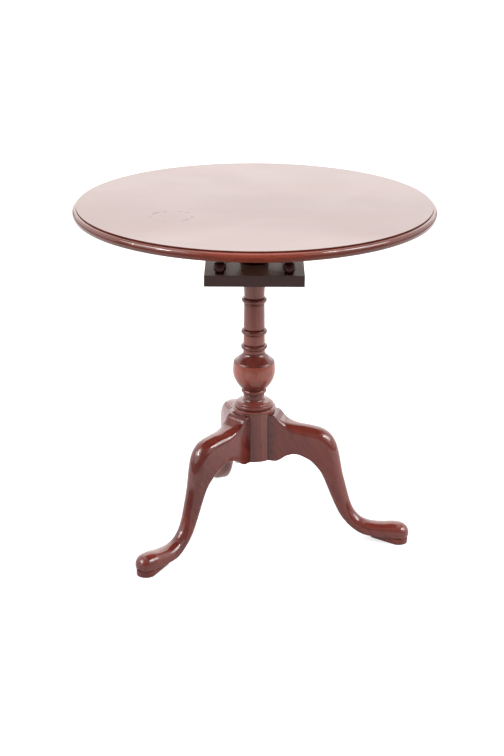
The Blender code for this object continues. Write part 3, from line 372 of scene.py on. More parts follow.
def make_age_and_shade():
    """Age and painted shade from a piece's relief: dark wax where it is hollow, painted shade where
    a piece's marks give it, and rubbed polish where it stands proud.

    Slow clouds show where the polish is thin.
    """
    group, given, result = shared_effect(
        "age_and_shade", [("Vector", "NodeSocketVector"), ("Relief", "NodeSocketFloat")], ["Wax_and_shade", "Rubbed", "Thin"])
    patches = math_of(group, "MULTIPLY", noise(group, given.outputs["Vector"], 55.0, 4.0), 0.7)
    hollow = math_of(group, "SUBTRACT", patches, given.outputs["Relief"])
    proud = math_of(group, "ADD", patches, given.outputs["Relief"])
    clouds = noise(group, given.outputs["Vector"], 5.0, 2.0, 0.5, 0.4)
    feed(group, result, {
        "Wax_and_shade": ramp(group, hollow, 0.36, 1.0),
        "Rubbed": ramp(group, proud, 0.75, 1.4),
        "Thin": ramp(group, clouds, 0.30, 0.72),
    })
    return group


GRAIN = make_grain()
AGE_AND_SHADE = make_age_and_shade()


def fresh_material(name):
    """A new material, its node tree and the shader in it."""
    material = bpy.data.materials.new(name)
    material.use_nodes = True
    return material, material.node_tree, material.node_tree.nodes["Principled BSDF"]


def polished_wood(name, deep, lit, turn, roughness, coat, coat_roughness, paler=None):
    """French-polished mahogany whose grain runs along Z after the plank's turn is undone.

    Figure mixes two browns; pores, wax and painted shade darken them; rubbed and dusty places come
    near a paler colour, which on some pieces paints light as well; and a clear coat of polish lies
    over all but the piece's dull places.
    """
    material, tree, shader = fresh_material(name)
    place = add(tree, "ShaderNodeTexCoord").outputs["Object"]
    plank = add(tree, "ShaderNodeMapping", None, {"Vector": place, "Rotation": turn}).outputs[0]
    grain = add(tree, "ShaderNodeGroup", {"node_tree": GRAIN}, {"Vector": plank})
    stands = add(tree, "ShaderNodeAttribute", {"attribute_name": "relief"}).outputs["Fac"]
    age_and_shade = add(tree, "ShaderNodeGroup", {"node_tree": AGE_AND_SHADE}, {"Vector": place, "Relief": stands})
    colour = blend(tree, grain.outputs["Figure"], deep, lit)
    # The paler colour stands for wear and dust, and on some pieces for painted light as well
    if paler:
        worn_dusty_and_lit = add(tree, "ShaderNodeAttribute", {"attribute_name": "worn_dusty_and_lit"}).outputs["Fac"]
        colour = blend(tree, math_of(tree, "MULTIPLY", worn_dusty_and_lit, WORN_DUSTY_AND_LIT_SHARE), colour, paler)
    dark = tuple(DARK_PART * part for part in deep)
    colour = blend(tree, math_of(tree, "MULTIPLY", grain.outputs["Pores"], PORE_SHARE), colour, dark)
    colour = blend(tree, math_of(tree, "MULTIPLY", age_and_shade.outputs["Wax_and_shade"], WAX_AND_SHADE_SHARE), colour, dark)
    pale = tuple(PALE_PART * part for part in lit)
    colour = blend(tree, math_of(tree, "MULTIPLY", age_and_shade.outputs["Rubbed"], RUBBED_SHARE), colour, pale)
    rough = ramp(tree, grain.outputs["Figure"], 0.0, 1.0,
                 roughness + ROUGHNESS_SWING, roughness - ROUGHNESS_SWING)
    bump = add(tree, "ShaderNodeBump", None,
               {"Strength": GRAIN_STRENGTH, "Distance": GRAIN_DEPTH, "Height": grain.outputs["Height"]})
    dull = add(tree, "ShaderNodeAttribute", {"attribute_name": "dull"}).outputs["Fac"]
    thin = ramp(tree, age_and_shade.outputs["Thin"], 0.0, 1.0, coat, THIN_COAT * coat)
    polish = math_of(tree, "MULTIPLY", thin, ramp(tree, dull, 0.0, 1.0, 1.0, 0.0))
    feed(tree, shader, {
        "Base Color": colour, "Roughness": rough, "Normal": bump.outputs["Normal"],
        "Specular IOR Level": 0.0, "Coat Weight": polish, "Coat Roughness": coat_roughness,
        "Coat IOR": POLISH_IOR,
    })
    return material


def fit(piece, body, slot, material, *solids):
    """Give a piece its material, hang it on its body, and hide the solids it dresses."""
    piece.data.materials.clear()
    piece.data.materials.append(material)
    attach(piece, body)
    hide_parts(*solids)


pillar_shape, pillar_marks = pillar_rings()
pillar_wood = polished_wood("pillar_mahogany", PILLAR_DEEP, PILLAR_LIT, UNTURNED,
                            roughness=0.34, coat=1.0, coat_roughness=0.20, paler=PILLAR_BARE_AND_LIT)
fit(skin("turned_pillar", pillar_shape, pillar_marks), "base", "pillar_mahogany", pillar_wood, "pillar")


# Legs: three cabriole legs sawn from thick mahogany, with their crests rounded and their feet carved
# to slippers on thin pads. Each butts on a flat of the pillar's block with a dark joint, and shade is
# painted on the leg beside the block, in the crease above the pad and on the pad at the floor.

# Stations from the joint to the toe: upper line out and up, lower line out and up, half the width,
# and how round the upper and the lower corners are
LEG_STATIONS = (
    (0.0365, 0.2680, 0.0365, 0.1660, 0.0250, 0.05, 0.05),
    (0.0495, 0.2664, 0.0520, 0.1660, 0.0250, 0.06, 0.05),
    (0.0606, 0.2570, 0.0618, 0.1701, 0.0250, 0.18, 0.07),
    (0.0744, 0.2499, 0.0758, 0.1798, 0.0249, 0.42, 0.09),
    (0.0946, 0.2459, 0.0916, 0.1847, 0.0248, 0.64, 0.12),
    (0.1214, 0.2437, 0.1047, 0.1827, 0.0243, 0.74, 0.15),
    (0.1470, 0.2383, 0.1137, 0.1788, 0.0237, 0.76, 0.18),
    (0.1648, 0.2262, 0.1211, 0.1742, 0.0226, 0.78, 0.25),
    (0.1758, 0.2090, 0.1289, 0.1680, 0.0213, 0.80, 0.30),
    (0.1824, 0.1882, 0.1360, 0.1594, 0.0197, 0.85, 0.40),
    (0.1873, 0.1638, 0.1450, 0.1461, 0.0183, 0.90, 0.60),
    (0.1912, 0.1440, 0.1518, 0.1311, 0.0176, 0.96, 0.80),
    (0.1992, 0.1135, 0.1625, 0.1030, 0.0167, 1.00, 1.00),
    (0.2084, 0.0810, 0.1775, 0.0695, 0.0165, 1.00, 1.00),
    (0.2186, 0.0599, 0.1918, 0.0455, 0.0165, 1.00, 1.00),
    (0.2330, 0.0465, 0.2115, 0.0262, 0.0170, 1.00, 0.90),
    (0.2520, 0.0405, 0.2374, 0.0142, 0.0190, 1.00, 0.60),
    (0.2767, 0.0407, 0.2698, 0.0118, 0.0211, 1.00, 0.50),
    (0.2996, 0.0438, 0.2987, 0.0115, 0.0216, 1.00, 0.50),
    (0.3175, 0.0425, 0.3175, 0.0115, 0.0205, 1.00, 0.50),
    (0.3285, 0.0362, 0.3285, 0.0122, 0.0149, 1.00, 0.60),
    (0.3338, 0.0270, 0.3338, 0.0170, 0.0062, 1.00, 1.00),
)
LEG_ROWS = 240
CORNER_POINTS = 15
CROWN_START = 0.1
CROWN_FULL = 0.6
LEAST_ROUND = 0.04
FLAT_POINTS = 4
PAD_TOE = 0.0195
PAD_HEEL = 0.011
PAD_TOE_CENTRE = 0.313
PAD_LENGTH = 0.050
PAD_HEIGHT = 0.0135
PAD_ARRIS = 0.0010
PAD_CREASE = 30.0
PAD_HEEL_LIFT = 0.0085
PAD_LIFT_START = 0.010
PAD_LIFT_CURVE = 1.5
# Marks of the pad's rings, from the floor up to the joint with the foot: painted shade at both ends, and
# dull polish
PAD_SHADE = (-0.9, -0.6, 0.0, 0.0, -0.6, -1.0)
PAD_DULL = (0.2, 0.2, 0.2, 0.4, 0.9, 0.9)
JOINT_FACE = 0.0365
JOINT_WAX = 0.002
# Painted shade on the leg beside the block, and how far it reaches
JOINT_SHADE = 0.45
JOINT_SHADE_REACH = 0.016
# Below this height the foot is painted with shade in the crease above the pad, and dulled
FOOT_SHADE_TOP = 0.0145
FOOT_SHADE_FADE = 0.003
FOOT_DULL = 0.9
LEG_GRAIN_SLOPE = math.radians(38.0)
LEG_DEEP = (0.076, 0.0125, 0.0092)
LEG_LIT = (0.155, 0.0280, 0.0200)


def spline(stations, count):
    """A Catmull-Rom curve through rows of numbers, cubic between each row and the next."""
    rows = np.asarray(stations)
    rows = np.vstack([2 * rows[0] - rows[1], rows, 2 * rows[-1] - rows[-2]])
    along = np.linspace(0.0, len(stations) - 1, count)
    span = np.minimum(along.astype(int), len(stations) - 2)
    t = (along - span)[:, None]
    before, start, end, beyond = (rows[span + step] for step in range(4))
    cubic = 3 * start - before - 3 * end + beyond
    square = 2 * before - 5 * start + 4 * end - beyond
    return (2 * start + (end - before) * t + square * t ** 2 + cubic * t ** 3) / 2


def leg_rings():
    """Rounded rectangles between the leg's two lines, square to its plane, from joint to toe.

    Each corner is a quarter circle of its own roundness, and points are set along the flats between.
    Where the upper corners are round they are drawn out to ellipses, which crown the leg.
    """
    lines = spline(LEG_STATIONS, LEG_ROWS)
    upper, lower = lines[:, 0:2], lines[:, 2:4]
    middle = (upper + lower) / 2
    rise = upper - lower
    tall = np.linalg.norm(rise, axis=1)
    rise /= tall[:, None]
    wide = lines[:, 4]
    least = np.minimum(wide, tall / 2)
    turn = np.linspace(0.0, np.pi / 2, CORNER_POINTS)
    corners = []
    for quarter, (side, end, roundness) in enumerate(((1, 1, 5), (-1, 1, 5), (-1, -1, 6), (1, -1, 6))):
        radius = (np.clip(lines[:, roundness], LEAST_ROUND, 1.0) * least)[:, None]
        crown = np.zeros(LEG_ROWS)
        if end > 0:
            crown = np.clip((lines[:, roundness] - CROWN_START) / CROWN_FULL, 0.0, 1.0)
        reach = radius + (wide[:, None] - radius) * crown[:, None]
        angle = turn + quarter * np.pi / 2
        across = side * (wide[:, None] - reach) + reach * np.cos(angle)
        along = end * (tall[:, None] / 2 - radius) + radius * np.sin(angle)
        corners.append(np.stack([across, along], axis=-1))
    share = np.linspace(0.0, 1.0, FLAT_POINTS + 2)[1:-1][None, :, None]
    section = []
    for corner, following in zip(corners, corners[1:] + corners[:1]):
        section += [corner, corner[:, -1:] + (following[:, :1] - corner[:, -1:]) * share]
    section = np.concatenate(section, axis=1)
    out = middle[:, None, 0] + rise[:, None, 0] * section[..., 1]
    up = middle[:, None, 1] + rise[:, None, 1] * section[..., 1]
    return np.stack([out, section[..., 0], up], axis=-1)


def pad_rings():
    """The pad in plan is a round toe drawn in to a small round heel, which is cut up off the floor."""
    lean = np.pi / 2 + math.asin((PAD_TOE - PAD_HEEL) / PAD_LENGTH)
    toe = np.linspace(-lean, lean, 40)
    heel = np.linspace(lean, math.tau - lean, 24)
    insets = np.array([PAD_ARRIS, 0.3 * PAD_ARRIS, 0.0, 0.0, 0.4 * PAD_ARRIS, PAD_ARRIS])[:, None]
    heights = np.array([0.0, 0.3 * PAD_ARRIS, PAD_ARRIS,
                        PAD_HEIGHT - PAD_ARRIS, PAD_HEIGHT - 0.0003, PAD_HEIGHT])
    out = np.concatenate([PAD_TOE_CENTRE + (PAD_TOE - insets) * np.cos(toe),
                          PAD_TOE_CENTRE - PAD_LENGTH + (PAD_HEEL - insets) * np.cos(heel)], axis=1)
    across = np.concatenate([(PAD_TOE - insets) * np.sin(toe), (PAD_HEEL - insets) * np.sin(heel)], axis=1)
    behind = np.clip((PAD_TOE_CENTRE - PAD_LIFT_START - out) / PAD_LENGTH, 0.0, 1.0)
    lift = PAD_HEEL_LIFT * behind ** PAD_LIFT_CURVE * (1.0 - heights[:, None] / PAD_HEIGHT)
    return np.stack([out, across, heights[:, None] + lift], axis=-1)


def swung(rings, azimuth):
    """Rings turned about Z to a leg's azimuth."""
    turn = math.radians(azimuth)
    swing = np.array([
        [math.cos(turn), math.sin(turn), 0.0],
        [-math.sin(turn), math.cos(turn), 0.0],
        [0.0, 0.0, 1.0],
    ])
    return rings @ swing


def joined(name, pieces):
    """Several closed shells made one piece."""
    shell = bmesh.new()
    for piece in pieces:
        shell.from_mesh(piece.data)
        bpy.data.meshes.remove(piece.data)
    mesh = bpy.data.meshes.new(name)
    shell.to_mesh(mesh)
    shell.free()
    return placed(name, mesh)


leg_shape = leg_rings()
# The joint itself is dark; beside the block and low on the foot, shade is painted
leg_joint = np.clip((JOINT_FACE + JOINT_WAX - leg_shape[..., 0]) / JOINT_WAX, 0.0, 1.0)
leg_shade = JOINT_SHADE * np.exp(-((leg_shape[..., 0] - JOINT_FACE) / JOINT_SHADE_REACH) ** 2)
leg_foot = np.clip((FOOT_SHADE_TOP - leg_shape[..., 2]) / FOOT_SHADE_FADE, 0.0, 1.0)
leg_joint_and_shade = -np.maximum(np.maximum(leg_joint, leg_shade), leg_foot)
leg_marks = {"relief": leg_joint_and_shade, "dull": FOOT_DULL * leg_foot}
pad_marks = {"relief": np.array(PAD_SHADE)[:, None], "dull": np.array(PAD_DULL)[:, None]}
for side, azimuth in LEG_AZIMUTHS.items():
    carving = skin("leg_carving", swung(leg_shape, azimuth), leg_marks)
    pad = skin("leg_pad", swung(pad_rings(), azimuth), pad_marks, PAD_CREASE)
    leg = joined("carved_leg_" + side, [carving, pad])
    leg_grain = (0.0, LEG_GRAIN_SLOPE, -math.radians(azimuth))
    leg_wood = polished_wood("leg_mahogany_" + side, LEG_DEEP, LEG_LIT, leg_grain,
                             roughness=0.34, coat=1.0, coat_roughness=0.09)
    fit(leg, "base", "leg_mahogany", leg_wood, "leg_" + side)


# Brace: a flat star of forged iron under the block, with four countersunk steel screws that hold it
# up to the pillar and to each leg, so that the dovetails can't open.

IRON_DARK = (0.020, 0.018, 0.017)
IRON_GREY = (0.085, 0.078, 0.072)
RUST = (0.115, 0.038, 0.014)
STEEL_DULL = (0.20, 0.19, 0.18)
STEEL_BRIGHT = (0.48, 0.47, 0.45)
IRON_ARRIS = 0.0004
SCRATCH_DRAW = (2600.0, 140.0, 900.0)
PIT_SHARE = 0.6
SCRATCH_ROUGHNESS = 0.08
PATINA_STRENGTH = 0.3
PATINA_DEPTH = 0.0001


def eased(name, solid, arris, crease=38.0):
    """A copy of a solid with its triangles merged, its flat faces joined and its arrises rounded."""
    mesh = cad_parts[solid].data.copy()
    mesh.name = name
    for layer in ("custom_normal", "sharp_edge", "sharp_face"):
        if layer in mesh.attributes:
            mesh.attributes.remove(mesh.attributes[layer])
    shell = bmesh.new()
    shell.from_mesh(mesh)
    bmesh.ops.remove_doubles(shell, verts=shell.verts, dist=1e-6)
    bmesh.ops.dissolve_limit(shell, angle_limit=math.radians(0.5), verts=shell.verts, edges=shell.edges)
    shell.to_mesh(mesh)
    shell.free()
    mesh.shade_smooth()
    mesh.set_sharp_from_angle(angle=math.radians(crease))
    piece = placed(name, mesh)
    if arris:
        bevel = piece.modifiers.new("arrises", "BEVEL")
        bevel.width = arris
        bevel.segments = 2
        bevel.limit_method = "ANGLE"
        bevel.angle_limit = math.radians(crease)
        bevel.harden_normals = True
    return piece


def make_patina():
    """Old metal: soft patches of tarnish, small pits, and fine rubbed scratches."""
    group, given, result = shared_effect(
        "patina", [("Vector", "NodeSocketVector")], ["Patches", "Pits", "Scratches"])
    vector = given.outputs["Vector"]
    drawn = add(group, "ShaderNodeMapping", None, {"Vector": vector, "Scale": SCRATCH_DRAW}).outputs[0]
    feed(group, result, {
        "Patches": ramp(group, noise(group, vector, 90.0, 6.0, 0.62), 0.36, 0.66),
        "Pits": ramp(group, noise(group, vector, 900.0, 3.0), 0.58, 0.72),
        "Scratches": ramp(group, noise(group, drawn, 1.0, 2.0), 0.55, 0.75),
    })
    return group


PATINA = make_patina()


def old_metal(name, dark, bright, stain, polish):
    """Metal that is bright where it is rubbed, dark in its patches and stained in its pits.

    Polish is the roughness of its bright and of its dark places.
    """
    material, tree, shader = fresh_material(name)
    place = add(tree, "ShaderNodeTexCoord").outputs["Object"]
    patina = add(tree, "ShaderNodeGroup", {"node_tree": PATINA}, {"Vector": place})
    colour = blend(tree, patina.outputs["Patches"], bright, dark)
    colour = blend(tree, math_of(tree, "MULTIPLY", patina.outputs["Pits"], PIT_SHARE), colour, stain)
    rough = ramp(tree, patina.outputs["Patches"], 0.0, 1.0, polish[0], polish[1])
    scratched = math_of(tree, "MULTIPLY", patina.outputs["Scratches"], SCRATCH_ROUGHNESS)
    rough = math_of(tree, "ADD", rough, scratched)
    height = math_of(tree, "ADD", patina.outputs["Pits"], patina.outputs["Scratches"])
    bump = add(tree, "ShaderNodeBump", {"invert": True},
               {"Strength": PATINA_STRENGTH, "Distance": PATINA_DEPTH, "Height": height})
    feed(tree, shader, {
        "Base Color": colour, "Roughness": rough, "Normal": bump.outputs["Normal"], "Metallic": 1.0})
    return material


forged_iron = old_metal("brace_iron", IRON_DARK, IRON_GREY, RUST, polish=(0.45, 0.72))
screw_steel = old_metal("screw_steel", STEEL_DULL, STEEL_BRIGHT, RUST, polish=(0.28, 0.50))
fit(eased("iron_brace", "brace_plate", IRON_ARRIS), "base", "brace_iron", forged_iron, "brace_plate")
for place in ("centre", "right", "back", "left"):
    solid = "brace_screw_" + place
    fit(eased("iron_" + solid, solid, 0.0), "base", "screw_steel", screw_steel, solid)


# Cage: two square boards of dark mahogany with four turned posts tenoned between them. The lower
# board turns on the pillar's shoulder, held down by a turned collar and a wedge through the spindle.

POST_X = 0.0685
POST_Y = 0.0825
POST_BOTTOM = 0.589
POST_TOP = 0.6684
POST_NECK = 0.0060
COLLAR_BOTTOM = 0.589
COLLAR_TOP = 0.601
COLLAR_RADIUS = 0.029
COLLAR_QUIRK = 0.0008
ROUND_ANGLES = 48
POST_RELIEF_REACH = 0.0025
POST_RELIEF_DEPTH = 0.0012
BOARD_ARRIS = 0.0009
CAGE_DEEP = (0.042, 0.0110, 0.0090)
CAGE_LIT = (0.090, 0.0240, 0.0190)
# The lower board's upward faces: dust, paler to paint the sheen they catch as well
CAGE_DUST_AND_SHEEN = (0.44, 0.270, 0.185)
DUST_AND_SHEEN_PALES = 0.60
DUST_DULLS = 0.30
FACES_UP = 0.9
POST_DEEP = (0.026, 0.0062, 0.0048)
POST_LIT = (0.054, 0.0128, 0.0098)
WEDGE_DEEP = (0.075, 0.027, 0.014)
WEDGE_LIT = (0.150, 0.060, 0.031)


def post_profile():
    """A small baluster: a foot, a fat bulb, a ring, a tapering body, a ring and a cap."""
    height = POST_TOP - POST_BOTTOM

    def up(share):
        """A height on the post, as a share of it."""
        return POST_BOTTOM + share * height

    return np.concatenate([
        straight((0.0093, up(0.0)), (0.0095, up(0.025)), 3),
        roll(up(0.03), up(0.28), POST_NECK, 0.0065, 0.8, 25),
        straight((POST_NECK, up(0.285)), (POST_NECK, up(0.30)), 3),
        roll(up(0.305), up(0.365), POST_NECK, 0.0032, 0.6, 11),
        ogee((POST_NECK, up(0.37)), (0.0082, up(0.52)), 0.8, 14),
        ogee((0.0082, up(0.525)), (POST_NECK, up(0.82)), 1.0, 20),
        roll(up(0.825), up(0.89), POST_NECK, 0.0032, 0.6, 11),
        cove((POST_NECK + 0.0004, up(0.895)), (POST_NECK, up(0.92)), 5),
        ovolo((POST_NECK, up(0.925)), (0.0103, up(0.97)), 8),
        straight((0.0105, up(0.972)), (0.0105, up(1.0)), 3),
    ])


def collar_profile():
    """A ring with a rounded shoulder and a quirk near its foot."""
    quirk = COLLAR_RADIUS - COLLAR_QUIRK
    shoulder = COLLAR_RADIUS - 0.0002
    return np.concatenate([
        straight((COLLAR_RADIUS - 0.0005, COLLAR_BOTTOM), (COLLAR_RADIUS, COLLAR_BOTTOM + 0.0006), 3),
        straight((COLLAR_RADIUS, COLLAR_BOTTOM + 0.002), (quirk, COLLAR_BOTTOM + 0.0026), 3),
        straight((quirk, COLLAR_BOTTOM + 0.003), (shoulder, COLLAR_BOTTOM + 0.0036), 3),
        ovolo((shoulder, COLLAR_TOP - 0.005), (COLLAR_RADIUS - 0.006, COLLAR_TOP)),
        straight((COLLAR_RADIUS - 0.007, COLLAR_TOP), (SPINDLE_RADIUS - 0.001, COLLAR_TOP + 0.0001), 3),
    ])


def dusted_and_sheened(piece):
    """Dust lies on a piece's upward faces and dulls their polish; their paler colour also paints their
    sheen.
    """
    normals = np.empty(3 * len(piece.data.polygons))
    piece.data.polygons.foreach_get("normal", normals)
    upward = (normals.reshape(-1, 3)[:, 2] > FACES_UP).astype(np.float32)
    for mark, share in (("worn_dusty_and_lit", DUST_AND_SHEEN_PALES), ("dull", DUST_DULLS)):
        layer = piece.data.attributes.new(mark, "FLOAT", "FACE")
        layer.data.foreach_set("value", share * upward)
    return piece


round_angles = np.linspace(0.0, math.tau, ROUND_ANGLES, endpoint=False)
across_grain = (0.0, math.pi / 2, 0.0)
cage_wood = polished_wood("cage_mahogany", CAGE_DEEP, CAGE_LIT, across_grain,
                          roughness=0.42, coat=1.0, coat_roughness=0.36, paler=CAGE_DUST_AND_SHEEN)
post_wood = polished_wood("post_mahogany", POST_DEEP, POST_LIT, UNTURNED,
                          roughness=0.48, coat=0.38, coat_roughness=0.10)
wedge_wood = polished_wood("wedge_mahogany", WEDGE_DEEP, WEDGE_LIT, across_grain,
                           roughness=0.55, coat=0.15, coat_roughness=0.30)
lower_board = dusted_and_sheened(eased("lower_board", "cage_lower_board", BOARD_ARRIS))
fit(lower_board, "cage", "cage_mahogany", cage_wood, "cage_lower_board")
upper_board = eased("upper_board", "cage_upper_board", BOARD_ARRIS)
fit(upper_board, "cage", "cage_mahogany", cage_wood, "cage_upper_board")
collar_shape = turned(collar_profile(), round_angles)
collar = skin("turned_collar", collar_shape, {"relief": relief(collar_profile())[:, None]})
fit(collar, "base", "cage_mahogany", post_wood, "collar")
fit(eased("driven_wedge", "wedge", BOARD_ARRIS), "base", "wedge_mahogany", wedge_wood, "wedge")
post_line = post_profile()
post_marks = {"relief": relief(post_line, POST_RELIEF_REACH, POST_RELIEF_DEPTH)[:, None]}
for place, x, y in (("front_left", -POST_X, -POST_Y), ("front_right", POST_X, -POST_Y),
                    ("back_left", -POST_X, POST_Y), ("back_right", POST_X, POST_Y)):
    post_shape = turned(post_line, round_angles) + np.array([x, y, 0.0])
    post = skin("turned_post_" + place, post_shape, post_marks)
    fit(post, "cage", "cage_mahogany", post_wood, "post_" + place)


# Strike: a small plate of sheet brass let into the back edge of the upper board, which takes the bolt
# that locks the top flat. Two brass screws hold it.

BRASS_DARK = (0.17, 0.095, 0.028)
BRASS_BRIGHT = (0.56, 0.37, 0.13)
VERDIGRIS = (0.060, 0.058, 0.030)
BRASS_ARRIS = 0.0003

old_brass = old_metal("catch_brass", BRASS_DARK, BRASS_BRIGHT, VERDIGRIS, polish=(0.20, 0.46))
fit(eased("brass_strike", "strike_plate", BRASS_ARRIS), "cage", "catch_brass", old_brass, "strike_plate")
for side in ("left", "right"):
    solid = "strike_screw_" + side
    fit(eased("brass_" + solid, solid, 0.0), "cage", "catch_brass", old_brass, solid)


# Top: one broad round of mahogany, french-polished, with a small step and a rounded nosing turned
# along its rim. Two tapered cleats are screwed across its underside and hang on the cage's pintles.

TOP_RADIUS = 0.3635
TOP_UNDERSIDE = 0.691
TABLE_HEIGHT = 0.711
RIM_WIDTH = 0.0074
RIM_LEDGE = 0.0006
RIM_SHOULDER = 0.0088
RIM_UNDERCUT = 0.0040
RIM_STEP = 0.0031
RIM_ANGLES = 288
# How far the rubbed front of the rim, with its painted light, reaches to both sides
FRONT_SPREAD = math.radians(21.0)
STEP_WAX = 0.35
# Painted shade low on the nosing, where it faces down
LOW_SHADE = 0.25
LOW_SHADE_HEIGHT = 0.006
LOW_SHADE_REACH = 0.004
RUBBED_RELIEF = 0.3
RUBBED_DROP = 0.004
RUBBED_REACH = 0.0020
STEP_DULL = 0.7
BELOW_DULL = 0.75
BELOW_DULL_TOP = 0.7010
BELOW_DULL_FADE = 0.004
DULL_ASIDE = 0.1
WORN_AND_LIT_ASIDE = 0.2
TOP_DEEP = (0.075, 0.0150, 0.0085)
TOP_LIT = (0.096, 0.0200, 0.0115)
# The nosing's paler colour: rubbed wood, with light on the rim's front painted in
TOP_BARE_AND_LIT = (0.245, 0.0400, 0.0190)
RING_MIDDLE = (-0.160, -0.110, TABLE_HEIGHT)
RING_RADIUS = 0.040
RING_WIDTH = 0.0056
RING_STAIN = (0.070, 0.0240, 0.0170)
RING_PATCHES = 90.0
RING_BREAKS = (0.50, 0.57)
SCRATCH_MIDDLE = (-0.005, 0.113, TABLE_HEIGHT)
SCRATCH_PATCHES = 60.0
SCRATCH_BREAKS = (0.35, 0.60)
SCRATCH_SHARE = 0.25
MARK_DEPTH = 0.010
SCRATCH_SIZE = (0.034, 0.009, MARK_DEPTH)
# A pale dot on the rim, where the polish is also thinner
PALE_DOT_MIDDLE = (-0.2237, -0.2848, 0.7040)
PALE_DOT_SIZE = (0.0024, 0.0024, 0.0018)
PALE_DOT_COLOUR = (0.62, 0.44, 0.36)
FLAW_POLISH = 0.76
CLEAT_DEEP = (0.040, 0.0150, 0.0085)
CLEAT_LIT = (0.085, 0.0340, 0.0190)
CLEAT_ARRIS = 0.0010
CLEAT_GRAIN = (math.pi / 2, 0.0, 0.0)


def top_profile():
    """The underside, a nosing drawn in below, its rounded shoulder, the step, and the polished face."""
    brow = TOP_RADIUS - RIM_WIDTH
    crown = TABLE_HEIGHT - RIM_STEP
    widest = crown - RIM_SHOULDER
    turn = np.linspace(0.0, np.pi / 2, 24)
    below = np.column_stack([TOP_RADIUS - RIM_UNDERCUT * (1.0 - np.sin(turn)),
                             widest - (widest - TOP_UNDERSIDE) * np.cos(turn)])
    above = ovolo((TOP_RADIUS, widest), (brow + RIM_LEDGE, crown - 0.0002), 20)
    return np.concatenate([
        straight((0.004, TOP_UNDERSIDE), (below[0, 0] - 0.002, TOP_UNDERSIDE), 24),
        below[:-1],
        above,
        straight((brow + 0.75 * RIM_LEDGE, crown - 0.0001), (brow, crown), 4),
        straight((brow - 0.0004, crown + 0.0001), (brow - 0.0005, TABLE_HEIGHT - 0.0004), 4),
        straight((brow - 0.0006, TABLE_HEIGHT - 0.0002), (brow - 0.0009, TABLE_HEIGHT), 2),
        straight((brow - 0.002, TABLE_HEIGHT), (0.004, TABLE_HEIGHT), 60),
    ])


def on_step(profile):
    """1 on the step between the polished face and the nosing."""
    out, up = profile[:, 0], profile[:, 1]
    beside = np.abs(out - TOP_RADIUS + RIM_WIDTH + 0.0004) < 0.0003
    return (beside & (up > TABLE_HEIGHT - RIM_STEP) & (up < TABLE_HEIGHT - 0.0001)).astype(float)


def top_relief_and_shade(profile):
    """The step takes wax, shade is painted low on the nosing where it faces down, and its shoulder is
    rubbed.
    """
    out, up = profile[:, 0], profile[:, 1]
    low = np.exp(-((up - TOP_UNDERSIDE - LOW_SHADE_HEIGHT) / LOW_SHADE_REACH) ** 2)
    low = low * (out > TOP_RADIUS - 0.006)
    rubbed = np.exp(-((up - TABLE_HEIGHT + RUBBED_DROP) / RUBBED_REACH) ** 2)
    rubbed = rubbed * (out > TOP_RADIUS - 0.003)
    return (RUBBED_RELIEF * rubbed - STEP_WAX * on_step(profile) - LOW_SHADE * low)[:, None]


def at_front(angles):
    """1 at the front of the rim, falling away to both sides, where hands rub it and light on it is painted.
    """
    aside = np.angle(np.exp(1j * (angles + math.pi / 2)))
    return np.exp(-(aside / FRONT_SPREAD) ** 2)


def top_dull(profile, angles):
    """The polish is thin on the step, below the top, and at the front on the nosing's lower half."""
    below = BELOW_DULL * np.clip((BELOW_DULL_TOP - profile[:, 1]) / BELOW_DULL_FADE, 0.0, 1.0)
    nosing = (profile[:, 0] > TOP_RADIUS - RIM_UNDERCUT - 0.001)[:, None]
    toward_front = DULL_ASIDE + (1.0 - DULL_ASIDE) * at_front(angles)
    below = below[:, None] * np.where(nosing, toward_front, 1.0)
    return np.maximum(below, STEP_DULL * on_step(profile)[:, None])


def top_worn_and_lit(profile, angles):
    """The nosing is rubbed paler at the front and a little elsewhere, with painted light on its front."""
    nosing = profile[:, 0] > TOP_RADIUS - RIM_WIDTH + RIM_LEDGE
    step = on_step(profile) > 0.0
    worn_dusty_and_lit = (nosing | step) & (profile[:, 1] > TOP_UNDERSIDE + 0.001)
    return worn_dusty_and_lit[:, None] * (WORN_AND_LIT_ASIDE + (1.0 - WORN_AND_LIT_ASIDE) * at_front(angles))


def vector_of(tree, operation, first, second):
    """One difference, quotient or the like of two vectors."""
    return add(tree, "ShaderNodeVectorMath", {"operation": operation}, {0: first, 1: second}).outputs[0]


def length_of(tree, vector):
    """The length of a vector."""
    return add(tree, "ShaderNodeVectorMath", {"operation": "LENGTH"}, {0: vector}).outputs["Value"]


def apart_from(tree, place, middle, size):
    """How far a place lies from a middle: 0 there, and 1 on an ellipsoid of a size about it."""
    return length_of(tree, vector_of(tree, "DIVIDE", vector_of(tree, "SUBTRACT", place, middle), size))


def near(tree, place, middle, size, inner):
    """1 about a middle, as far as an inner share of an ellipsoid of a size, and 0 from its surface on."""
    return ramp(tree, apart_from(tree, place, middle, size), inner, 1.0, 1.0, 0.0)


